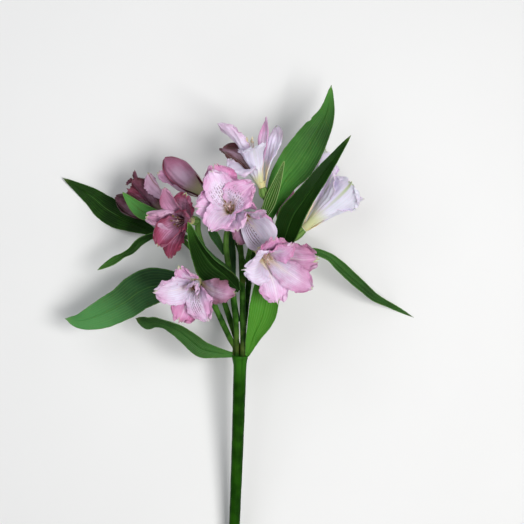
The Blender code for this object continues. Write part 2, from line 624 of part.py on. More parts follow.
def leaf_grid(leaf, across, along):
    line = spline(leaf["stations"], along + 1)
    route = line[:, :3]
    heading = np.gradient(route, axis=0)
    grid = []
    for i in range(along + 1):
        t = unit(heading[i])
        side = unit(np.cross(t, (0.0, 0.0, 1.0)))
        face = np.cross(side, t)
        lean = math.radians(line[i, 4])
        wide = side * math.cos(lean) + face * math.sin(lean)
        high = face * math.cos(lean) - side * math.sin(lean)
        half = max(LEAF_TIP_HALF, line[i, 3])
        row = []
        for j in range(across + 1):
            u = 2.0 * j / across - 1.0
            bend = math.radians(leaf["curl"]) * abs(u)
            row.append(route[i] + wide * u * half * math.cos(bend) + high * abs(u) * half * math.sin(bend))
        grid.append(row)
    return np.array(grid)


def make_leaf(name, leaf, capsules):
    along = leaf.get("along", LEAF_ALONG)
    grid = push_clear(leaf_grid(leaf, LEAF_ACROSS, along), capsules, LEAF_CLEARANCE)
    lowest = LEAF_THICK / 2 if leaf.get("rests") else LEAF_THICK / 2 + LIFT_OFF
    grid[:, :, 2] = np.maximum(grid[:, :, 2], lowest)
    return to_object(name, *blade(grid, LEAF_THICK), LEAF_GREEN, 0.45)


def make_stem():
    route = spline(STEM_ROUTE, STEM_RINGS)
    radii = np.interp(np.linspace(0, 1, STEM_RINGS), np.linspace(0, 1, len(STEM_RADII)), STEM_RADII)
    for at in SCAR_AT:
        radii[round(at * (STEM_RINGS - 1))] += SCAR_SWELL
    top = np.array(CROWN_TOP)
    shaft = list(route) + [top - STEM_HEADING * CROWN_LENGTH * below for below, _ in CROWN_PROFILE]
    radii = list(radii) + [CROWN_RADIUS * share for _, share in CROWN_PROFILE]
    return to_object("stem", *tube(shaft, radii, STEM_SIDES), STEM_GREEN, 0.4)


def main():
    for old in list(bpy.data.objects):
        bpy.data.objects.remove(old)
    capsules = stalk_capsules()
    make_stem()
    for name, ray in RAYS.items():
        make_ray(name, ray)
    for letter in TEPALS:
        make_perianth(letter, capsules)
    for letter in STAMENS:
        make_stamens(letter)
    for name, leaf in LEAVES.items():
        make_leaf(name, leaf, capsules)


main()
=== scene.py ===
# Alstroemeria, one cut stem with its whole flower head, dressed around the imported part.

import functools
import math

import bpy
import numpy as np
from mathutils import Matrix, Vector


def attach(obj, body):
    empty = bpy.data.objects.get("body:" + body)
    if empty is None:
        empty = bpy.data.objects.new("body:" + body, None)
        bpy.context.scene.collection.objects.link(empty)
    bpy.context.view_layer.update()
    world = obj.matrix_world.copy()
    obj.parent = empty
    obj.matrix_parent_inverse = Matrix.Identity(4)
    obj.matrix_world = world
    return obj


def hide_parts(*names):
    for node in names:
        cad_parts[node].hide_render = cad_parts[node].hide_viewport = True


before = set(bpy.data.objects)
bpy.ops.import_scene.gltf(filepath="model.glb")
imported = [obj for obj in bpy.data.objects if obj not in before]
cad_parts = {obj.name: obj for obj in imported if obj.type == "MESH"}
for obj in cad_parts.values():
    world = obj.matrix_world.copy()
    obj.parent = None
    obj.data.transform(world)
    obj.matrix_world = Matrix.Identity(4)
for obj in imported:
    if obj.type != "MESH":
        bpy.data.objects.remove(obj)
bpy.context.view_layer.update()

mm = 0.001
crownAt = (1.3, 11.4)  # the crown from the middle of the part; places below count from the crown


# Camera, floor and light

studio = {
    "middle": (13.776, 58.237),  # what the camera looks straight down at
    "sensor": 36.0,
    "cameraHeight": 1250,
    "millimetresPerPixel": 0.62,  # at headHeight, where the open blooms are
    "headHeight": 50,
    "pixels": 524,
    "floorSize": 6000,
    "floorColour": (0.80, 0.80, 0.79),
    "sky": (0.86, 0.92, 1.0),
    "skyStrength": 0.10,
    "aim": (0.0, 60.0, 30.0),  # what the lights point at
    "lights": {  # place, size, watts, colour
        "key": ((350, -50, 980), 420, 9.3, (1.0, 0.99, 0.985)),
        "fill": ((-420, 440, 840), 700, 3.7, (0.95, 0.97, 1.0)),
        "low": ((-60, -620, 620), 600, 0.6, (1.0, 0.98, 0.96)),
    },
}


def inMetres(x, y, z):
    return ((x + crownAt[0]) * mm, (y + crownAt[1]) * mm, z * mm)


def stand(name, data, place):
    holder = bpy.data.objects.new(name, data)
    holder.location = inMetres(*place)
    bpy.context.scene.collection.objects.link(holder)
    return holder


def buildStudio():
    depth = (studio["cameraHeight"] - studio["headHeight"]) * mm
    seen = studio["pixels"] * studio["millimetresPerPixel"] * mm
    camera = bpy.data.cameras.new("camera")
    camera.sensor_width = studio["sensor"]
    camera.lens = studio["sensor"] * depth / seen
    bpy.context.scene.camera = stand("camera", camera, (*studio["middle"], studio["cameraHeight"]))

    for name, (place, size, watts, colour) in studio["lights"].items():
        lamp = bpy.data.lights.new(name, "AREA")
        lamp.size = size * mm
        lamp.energy = watts
        lamp.color = colour
        aim = Vector(np.array(studio["aim"]) - np.array(place))
        stand(name, lamp, place).rotation_euler = aim.to_track_quat("-Z", "Y").to_euler()

    world = bpy.data.worlds.new("sky")
    world.use_nodes = True
    world.node_tree.nodes["Background"].inputs[0].default_value = (*studio["sky"], 1)
    world.node_tree.nodes["Background"].inputs[1].default_value = studio["skyStrength"]
    bpy.context.scene.world = world
    bpy.context.scene.view_settings.view_transform = "Standard"

    deselect()
    bpy.ops.mesh.primitive_plane_add(size=studio["floorSize"] * mm, location=(0, 0, 0))
    floor = bpy.context.object
    floor.name = "floor"
    material, shader, wire = newFinish("floorPaper")
    pale = studio["floorColour"]
    shade = wire.mix(wire.noise(9.0, 3.0).ramp(0.3, 0.7), pale, [0.985 * c for c in pale])
    shade.into(shader, "Base Color")
    settle(shader, Roughness=0.85)
    floor.data.materials.append(material)


# Shader sums: a wire is a node's output, and each sign between wires adds a Math node

def sign(operation, turned=False):
    def combine(wire, *other):
        return wire.math(operation, *((*other, wire) if turned else (wire, *other)))

    return combine


class Wire:
    def __init__(self, socket):
        self.socket = socket

    def add(self, kind, settings=None, inputs=None):
        tree = self.socket.id_data
        node = tree.nodes.new(kind)
        for key, value in (settings or {}).items():
            setattr(node, key, value)
        for key, value in (inputs or {}).items():
            if isinstance(value, Wire):
                tree.links.new(value.socket, node.inputs[key])
            elif node.inputs[key].type == "RGBA":
                node.inputs[key].default_value = (*value[:3], 1.0)
            else:
                node.inputs[key].default_value = value
        return Wire(node.outputs[0])

    def out(self, key):
        return Wire(self.socket.node.outputs[key])

    def into(self, node, key):
        self.socket.id_data.links.new(self.socket, node.inputs[key])

    def math(self, operation, *values):
        return self.add("ShaderNodeMath", {"operation": operation}, dict(enumerate(values)))

    __add__, __radd__ = sign("ADD"), sign("ADD", True)
    __sub__, __rsub__ = sign("SUBTRACT"), sign("SUBTRACT", True)
    __mul__, __rmul__ = sign("MULTIPLY"), sign("MULTIPLY", True)
    __pow__, __abs__ = sign("POWER"), sign("ABSOLUTE")
    floor, fraction = sign("FLOOR"), sign("FRACT")

    def ramp(self, low, high):
        # 0 at low, 1 at high, soft at both ends; low may be the greater one
        turned = low > high
        span = {"Value": self, "From Min": min(low, high), "From Max": max(low, high),
                "To Min": float(turned), "To Max": float(not turned)}
        return self.add("ShaderNodeMapRange", {"interpolation_type": "SMOOTHSTEP"}, span)

    def mix(self, share, first, second):
        settings = {"data_type": "RGBA", "clamp_factor": True}
        return self.add("ShaderNodeMix", settings, {0: share, 6: first, 7: second}).out(2)

    def noise(self, scale, detail=2.0):
        where = self.add("ShaderNodeTexCoord").out("Object")
        return self.add("ShaderNodeTexNoise", {}, {"Vector": where, "Scale": scale, "Detail": detail})

    def lines(self, count, width, bend=0.0):
        # Thin lines where this value times count is whole: 1 on a line, 0 off it
        return abs((self * count + bend).fraction() - 0.5).ramp(0.5 - width, 0.5)


def newFinish(name):
    material = bpy.data.materials.new(name)
    material.use_nodes = True
    shader = material.node_tree.nodes["Principled BSDF"]
    return material, shader, Wire(shader.outputs[0])


def patternOf(wire):
    # The piece's own pattern values: across and along it, and the four tones painted on it
    chart = wire.add("ShaderNodeSeparateXYZ", {}, {0: wire.add("ShaderNodeUVMap", {"uv_map": "UVMap"})})
    painted = wire.add("ShaderNodeAttribute", {"attribute_name": "tone"})
    tones = wire.add("ShaderNodeSeparateColor", {}, {0: painted})
    return chart.out(0), chart.out(1), (tones.out(0), tones.out(1), tones.out(2), painted.out("Alpha"))


def settle(shader, **values):
    # Values that are the same all over, by their sockets' names with _ for a blank
    for key, value in values.items():
        shader.inputs[key.replace("_", " ")].default_value = value


def relief(wire, shader, height, strength, depth):
    bump = wire.add("ShaderNodeBump", {}, {"Height": height, "Strength": strength, "Distance": depth * mm})
    bump.into(shader, "Normal")


# Modelling helpers

def deselect():
    bpy.ops.object.select_all(action="DESELECT")


def smooth(a, b, x):
    t = np.clip((x - a) / (b - a), 0.0, 1.0)
    return t * t * (3.0 - 2.0 * t)


def unit(v):
    return v / np.linalg.norm(v, axis=-1, keepdims=True)


def sway(x, seed):
    # An uneven wave between about -1 and 1, the same on each run
    slow, middle, quick = x + seed * 1.7, 2.3 * x + seed * 4.1, 4.1 * x + seed * 2.9
    return (np.sin(slow) + 0.6 * np.sin(middle) + 0.4 * np.sin(quick)) / 1.6


def spline(points, count):
    # A smooth curve through the points, sampled evenly along its length
    p = [np.array(q, float) for q in points]
    ends = [2 * p[0] - p[1]] + p + [2 * p[-1] - p[-2]]
    fine = []
    for i in range(1, len(ends) - 2):
        a, b, c, d = ends[i - 1:i + 3]
        for t in np.linspace(0.0, 1.0, 20, endpoint=False):
            fine.append(0.5 * (2 * b + (c - a) * t + (2 * a - 5 * b + 4 * c - d) * t * t
                               + (3 * b - a - 3 * c + d) * t ** 3))
    fine = np.array(fine + [p[-1]])
    run = np.concatenate([[0.0], np.cumsum(np.linalg.norm(np.diff(fine[:, :3], axis=0), axis=1))])
    at = np.linspace(0.0, run[-1], count)
    return np.stack([np.interp(at, run, column) for column in fine.T], axis=1)


def pick(share, table):
    # Rows of a table read at shares of its length, in between as well
    rows = np.arange(len(table))
    at = np.clip(share, 0.0, 1.0) * rows[-1]
    return np.stack([np.interp(at, rows, column) for column in table.T], axis=1)


def laidGrid(name, cellsAcross, cellsAlong, lay):
    # A flat grid whose points are laid in space by a rule of across and along, both 0 to 1
    deselect()
    bpy.ops.mesh.primitive_grid_add(x_subdivisions=cellsAcross, y_subdivisions=cellsAlong, size=1)
    piece = bpy.context.object
    piece.name = name
    flat = np.empty(len(piece.data.vertices) * 3)
    piece.data.vertices.foreach_get("co", flat)
    flat = flat.reshape(-1, 3)
    laid, tone = lay(flat[:, 0] + 0.5, flat[:, 1] + 0.5)
    laid = (laid + np.array((*crownAt, 0.0))) * mm
    piece.data.vertices.foreach_set("co", laid.ravel())
    layer = piece.data.attributes.new("tone", "FLOAT_COLOR", "POINT")
    rows = np.broadcast_to(np.array(tone, float), (len(laid), 4))
    layer.data.foreach_set("color", rows.ravel())
    piece.data.update()
    return piece


def thicken(piece, thickness, front, back):
    # A thin closed wall about the sheet, the second material on its back
    piece.data.materials.append(front)
    piece.data.materials.append(back)
    wall = piece.modifiers.new("wall", "SOLIDIFY")
    wall.thickness = thickness * mm
    wall.offset = 0.0
    wall.material_offset = 1
    wall.material_offset_rim = 0
    bpy.ops.object.modifier_apply(modifier=wall.name)
    return piece


def tube(name, route, radii, sides, material, tone=(0, 0, 0, 0), ribs=(0, 0.0)):
    # A closed tube along a route, its ends drawn in to a point
    route = np.array(route, float)
    heading = unit(np.gradient(route, axis=0))
    sideways = [unit(np.cross(heading[0], (0.31, 0.17, 0.93)))]
    for t in heading[1:]:
        sideways.append(unit(sideways[-1] - t * (sideways[-1] @ t)))
    sideways = np.array(sideways)
    upwards = np.cross(heading, sideways)
    stations = np.array([0, *range(len(route)), len(route) - 1])
    radii = np.array([0.0, *np.broadcast_to(radii, len(route)), 0.0])

    def lay(across, along):
        row = np.rint(along * (len(stations) - 1)).astype(int)
        turn = math.tau * across
        r = radii[row] * (1.0 + ribs[1] * np.cos(ribs[0] * turn))
        far, high = (r * np.cos(turn))[:, None], (r * np.sin(turn))[:, None]
        k = stations[row]
        placed = route[k] + sideways[k] * far + upwards[k] * high
        return placed, tone(row, turn) if callable(tone) else tone

    piece = laidGrid(name, sides, len(stations) - 1, lay)
    bpy.ops.object.mode_set(mode="EDIT")
    bpy.ops.mesh.select_all(action="SELECT")
    bpy.ops.mesh.remove_doubles(threshold=1e-6)
    bpy.ops.mesh.normals_make_consistent(inside=False)
    bpy.ops.object.mode_set(mode="OBJECT")
    piece.data.materials.append(material)
    return piece


def joined(name, pieces, angle=50):
    # All of the pieces as one, smooth but for its sharp edges
    deselect()
    for piece in pieces:
        piece.select_set(True)
    bpy.context.view_layer.objects.active = pieces[0]
    if len(pieces) > 1:
        bpy.ops.object.join()
    whole = pieces[0]
    whole.name = name
    bpy.ops.object.shade_smooth_by_angle(angle=math.radians(angle))
    return whole


def declare(piece, node):
    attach(piece, "root")
    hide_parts(node)


# Stem and stalks

stemForm = {
    "route": [(-6.6, -191.0, 3.55), (-5.4, -150.0, 8.2), (-3.6, -105.0, 15.6), (-1.6, -55.0, 26.0),
              (0.0, -6.0, 37.0)],
    "radii": [3.4, 3.4, 3.5, 3.8, 4.1],
    "crownTop": (0.0, 0.0, 38.0),
    "crown": [(0.6, 0.92), (0.24, 1.0), (0.0, 0.96)],  # share of its length from the top, and of its radius
    "crownRadius": 5.1,
    "crownLength": 5.0,
    "crownRound": 0.7,  # how much less of the crown blades keep clear of
    "crownDome": 0.12,
    "crownEnd": 0.6,  # share of the radius at the very top
    "crownRings": 8,
    "crownTint": 0.7,
    "scars": [(0.27, 1.1), (0.42, 4.0)],  # share of the length, turn round the stem
    "scarSwell": 0.55,
    "scarLength": 0.012,
    "scarMark": 0.006,
    "unevenness": 0.06,
    "sides": 28,
    "rings": 110,
}

stalkForm = {
    "footRadius": 1.52,
    "mainRadius": 1.8,
    "sideRadius": 1.5,
    "unevenness": 0.05,
    "forkSwell": 0.25,
    "footRing": 3.45,  # how far the stalks' feet stand from the middle of the crown
    "gap": 0.3,
    "straight": 4.5,  # the length that leaves the crown straight
    "arrival": (2.5, 1.5),  # how far ahead of the ovary a stalk is in line with it, how far it sinks in
    "ovaryRadius": 3.0,
    "ovaryShape": [(0.0, 0.5), (0.12, 0.66), (0.28, 0.88), (0.48, 1.0), (0.7, 0.98), (0.88, 0.86),
                   (1.0, 0.74)],
    "ribs": (6, 0.085),  # their number and depth
    "sides": 16,
    "ovarySides": 48,
    "rings": 44,
    "forkRings": 26,
    "ovaryRings": 18,
    "clearRings": 22,  # of the lines that blades keep clear of
}

blooms = {
    "a": dict(base=(-4.6, 87.6, 66), axis=(-0.09, 0.21, 1.0), ovary=7.5),
    "b": dict(base=(-0.5, 91.0, 42), axis=(0.33, -0.36, 0.87), ovary=7.0),
    "c": dict(base=(13.8, 104.7, 52), axis=(-0.25, 0.90, 0.30), up=(0, 0, 1), ovary=7.5),
    "d": dict(base=(10.7, 66.2, 58), axis=(0.35, -0.35, 0.87), ovary=7.5),
    "e": dict(base=(-25.4, 47.0, 60), axis=(-0.12, -0.25, 0.96), ovary=7.5),
    "f": dict(base=(-30.0, 84.0, 50), axis=(-0.38, -0.03, 0.92), ovary=7.0),
    "g": dict(base=(-21.1, 99.4, 44), axis=(-0.74, 0.66, 0.06), up=(0, 0, 1), ovary=6.5),
    "h": dict(base=(40.3, 79.2, 27), axis=(0.77, 0.63, 0.05), up=(0, 0, 1), ovary=11.5),
    "i": dict(base=(-43.2, 88.3, 38), axis=(-0.70, 0.70, 0.06), up=(0, 0, 1), ovary=6.0),
    "j": dict(base=(-53.5, 86.0, 18), axis=(-0.85, 0.45, 0.05), up=(0, 0, 1), ovary=5.5),
    "k": dict(base=(25.5, 84.0, 24), axis=(0.20, 0.95, 0.15), up=(0, 0, 1), ovary=5.0),
}

for bloom in blooms.values():
    bloom["base"] = np.array(bloom["base"], float)

# A ray's foot is counted round the crown in degrees, 0 in front
rays = {
    "ray_a": dict(foot=-38, stalks={
        "a": [(-2.15, 11, 42.5), (-2.6, 22, 46.5), (-5.3, 45, 51), (-8.4, 66, 52), (-7.6, 78, 52)]}),
    "ray_b": dict(foot=25, stalks={
        "b": [(1.8, 11, 41.5), (1.65, 22, 43), (1.5, 45, 43), (0.4, 66, 37), (-2.0, 82, 32)],
        "d": [(1.6, 45, 43), (4.0, 56, 44.5), (6.3, 66, 46)]}),
    "ray_c": dict(foot=145, stalks={
        "c": [(2.5, 18, 35), (5.5, 45, 33), (9, 70, 33), (13, 86, 39)],
        "g": [(5.5, 45, 33), (-1, 68, 29), (-9, 85, 34)]}),
    "ray_e": dict(foot=-98, stalks={"e": [(-6.0, 10, 40.5), (-10.6, 20, 45.5), (-17.5, 35, 47.5)]}),
    "ray_f": dict(foot=-155, stalks={
        "f": [(-5, 18, 36), (-13, 42, 38), (-21, 62, 38), (-26, 76, 38)],
        "i": [(-21, 62, 38), (-31, 76, 36)],
        "j": [(-13, 42, 38), (-26, 61, 30), (-39, 75, 22)]}),
    "ray_h": dict(foot=85, stalks={
        "h": [(7, 16, 35), (16, 34, 31), (26, 52, 28)],
        "k": [(16, 34, 31), (20, 55, 24), (23, 71, 22)]}),
}

stemHeading = unit(np.array(stemForm["route"][-1]) - np.array(stemForm["route"][-2]))

greens = {  # main, light, dark, red, scar, cut end, crown or ovary, roughness
    "stemSkin": ((0.006, 0.038, 0.001), (0.014, 0.072, 0.002), (0.006, 0.030, 0.002), (0.05, 0.04, 0.01),
                 (0.16, 0.12, 0.05), (0.42, 0.50, 0.22), (0.035, 0.165, 0.010), 0.38),
    "stalkSkin": ((0.010, 0.046, 0.003), (0.052, 0.155, 0.017), (0.006, 0.028, 0.002), (0.12, 0.07, 0.03),
                  (0.20, 0.15, 0.06), (0.42, 0.50, 0.22), (0.190, 0.340, 0.085), 0.40),
}


def greenFinish(name, main, light, dark, red, scar, cut, pale, rough):
    material, shader, wire = newFinish(name)
    across, _, (ovary, scarred, cutEnd, blush) = patternOf(wire)
    patches = wire.noise(140.0, 3.0)
    streaks = across.lines(24.0, 0.22, patches * 0.6)
    colour = wire.mix(patches.ramp(0.35, 0.68), main, light)
    colour = wire.mix(streaks * 0.45, colour, dark)
    colour = wire.mix(ovary * 0.85, colour, pale)
    # Darker in the grooves between the ovary's ribs: painted shade
    grooves = abs((across * 6.0 + 0.5).fraction() - 0.5).ramp(0.30, 0.5)
    colour = wire.mix(ovary * grooves * 0.6, colour, dark)
    colour = wire.mix(blush * patches.ramp(0.3, 0.6), colour, red)
    colour = wire.mix(scarred * patches.ramp(0.2, 0.5), colour, scar)
    pith = wire.noise(1800.0).ramp(0.4, 0.65)
    colour = wire.mix(cutEnd * (0.75 + 0.25 * pith), colour, cut)
    colour.into(shader, "Base Color")
    (rough + 0.2 * wire.noise(700.0)).into(shader, "Roughness")
    relief(wire, shader, streaks * 0.5 + wire.noise(2600.0) * 0.3, 0.35, 0.12)
    settle(shader, Specular_IOR_Level=0.04, Subsurface_Weight=0.08, Subsurface_Scale=0.0015)
    return material


def crownPoint(angle, ring, ahead):
    front = unit(np.array((0.0, 0.0, 1.0)) - stemHeading * stemHeading[2])
    right = np.cross(stemHeading, front)
    out = front * math.cos(math.radians(angle)) + right * math.sin(math.radians(angle))
    return np.array(stemForm["crownTop"]) + out * ring + stemHeading * ahead


def bloomAxes(bloom):
    axis = unit(np.array(bloom["axis"], float))
    up = np.array(bloom.get("up", (0.0, 1.0, 0.0)), float)
    up = unit(up - axis * (up @ axis))
    return axis, up, np.cross(up, axis)


def ovaryBottom(bloom):
    return bloom["base"] - bloomAxes(bloom)[0] * (bloom["ovary"] + stalkForm["gap"])


def isMain(ray, carried):
    return carried == list(ray["stalks"])[0]


def stalkRoute(ray, carried, count):
    axis = bloomAxes(blooms[carried])[0]
    foot = crownPoint(ray["foot"], stalkForm["footRing"], stalkForm["gap"])
    start = [foot, foot + stemHeading * stalkForm["straight"]] if isMain(ray, carried) else []
    low = ovaryBottom(blooms[carried])
    ahead, sunk = stalkForm["arrival"]
    return spline(start + ray["stalks"][carried] + [low - axis * ahead, low + axis * sunk], count)


def stalkCapsules():
    # Each stalk and ovary as lines with a radius, for keeping blades clear of them
    lines = []
    for ray in rays.values():
        for carried in ray["stalks"]:
            route = stalkRoute(ray, carried, stalkForm["clearRings"])
            radius = stalkForm["mainRadius" if isMain(ray, carried) else "sideRadius"]
            lines += [(a, b, radius) for a, b in zip(route[:-1], route[1:])]
            bloom = blooms[carried]
            lines.append((ovaryBottom(bloom), bloom["base"], stalkForm["ovaryRadius"]))
    top = np.array(stemForm["crownTop"])
    low = top - stemHeading * stemForm["crownLength"]
    lines.append((low, top, stemForm["crownRadius"] - stemForm["crownRound"]))
    return lines


def pushClear(points, capsules, clearance):
    for a, b, radius in capsules:
        along = b - a
        t = np.clip((points - a) @ along / (along @ along), 0.0, 1.0)
        away = points - (a + along * t[:, None])
        gap = np.linalg.norm(away, axis=1)
        near = (gap < radius + clearance) & (gap > 1e-6)
        points[near] += away[near] / gap[near, None] * (radius + clearance - gap[near])[:, None]
    return points


def buildStem():
    form = stemForm
    rings = form["rings"]
    route = list(spline(form["route"], rings))
    share = np.linspace(0.0, 1.0, rings)
    radii = np.interp(share, np.linspace(0, 1, len(form["radii"])), form["radii"])
    radii = radii + form["unevenness"] * sway(share * 60.0, 2.0)
    for at, _ in form["scars"]:
        radii = radii + form["scarSwell"] * np.exp(-((share - at) / form["scarLength"]) ** 2)
    top = np.array(form["crownTop"])
    crown = spline([(*(top - stemHeading * form["crownLength"] * low), form["crownRadius"] * wide)
                    for low, wide in form["crown"]], form["crownRings"])
    route += list(crown[:, :3]) + [top + stemHeading * form["crownDome"]]
    radii = list(radii) + list(crown[:, 3]) + [form["crownRadius"] * form["crownEnd"]]

    def tone(row, turn):
        painted = np.zeros((len(row), 4))
        at = (row - 1) / (rings - 1)
        for place, side in form["scars"]:
            gap = np.abs((turn - side + math.pi) % math.tau - math.pi)
            painted[:, 1] += np.exp(-((at - place) / form["scarMark"]) ** 2) * smooth(1.5, 0.5, gap)
        painted[:, 2] = row < 1
        painted[:, 0] = form["crownTint"] * smooth(0.93, 1.0, at)
        return np.clip(painted, 0, 1)

    stem = tube("cutStem", route, radii, form["sides"], finishes["stemSkin"], tone)
    declare(joined("cutStem", [stem], 40), "stem")


def buildRay(name):
    ray, form, skin = rays[name], stalkForm, finishes["stalkSkin"]
    parts = []
    for carried in ray["stalks"]:
        main = isMain(ray, carried)
        count = form["rings" if main else "forkRings"]
        share = np.linspace(0.0, 1.0, count)
        if main:
            radii = form["footRadius"] + (form["mainRadius"] - form["footRadius"]) * smooth(0, 0.25, share)
        else:
            radii = form["sideRadius"] + form["forkSwell"] * smooth(0.12, 0.0, share)
        radii = radii + form["unevenness"] * sway(share * 30, ray["foot"])

        def tone(row, turn, count=count):
            along = np.clip((row - 1) / (count - 1), 0, 1)
            none = 0 * along
            return np.stack([0.5 * smooth(0.4, 1.0, along), none, none, 0.35 * smooth(0.25, 0.0, along)], 1)

        route = stalkRoute(ray, carried, count)
        parts.append(tube(name + carried, route, radii, form["sides"], skin, tone))
        bloom = blooms[carried]
        axis, low = bloomAxes(bloom)[0], ovaryBottom(bloom)
        shape = spline([(*(low + axis * bloom["ovary"] * s), form["ovaryRadius"] * r)
                        for s, r in form["ovaryShape"]], form["ovaryRings"])
        parts.append(tube(name + carried + "Ovary", shape[:, :3], shape[:, 3], form["ovarySides"], skin,
                          (1.0, 0, 0, 0), form["ribs"]))
    declare(joined("stalks" + name[-1].upper(), parts), name)


# Tepals: the clock hour, reach, rise and half width are those of the part. lip and start are the
# headings of the tip and the foot, look is how blushed, marked, brown and green it is, its brown
# being partly the tepal's own and partly painted shade on tepals that stand in shadow, crimp its
# frill, cup curls the blade across, wave ripples it, skew and twist turn it aside, edges roll its
# left and right margins, tipCurl turns its tip, marked is where across it the marks begin, and
# scorch how much brown is added to its end.

def tepal(kind, clock, reach, rise, half, lip, look, crimp=0.5, start=None, cup=(0, 8), wave=0.8,
          skew=0, twist=0, edges=(0, 0), tipCurl=0, marked=-9, scorch=0):
    return dict(kind=kind, clock=clock, reach=reach, rise=rise, half=half, lip=lip, look=look, crimp=crimp,
                start=start, cup=cup, wave=wave, skew=skew, twist=twist, edges=edges, tipCurl=tipCurl,
                marked=marked, scorch=scorch)


outer = functools.partial(tepal, "outer")
inner = functools.partial(tepal, "inner")


def closed(firstClock, reach, rise, half, lip, looks, firstEdges=(0, 0)):
    # The three outer tepals of a closed bud, wrapped round the rest
    return [tepal("bud", firstClock + 4 * k, reach, rise, half, lip, look, 0, wave=0, twist=10,
                  edges=(0, 0) if k else firstEdges) for k, look in enumerate(looks)]


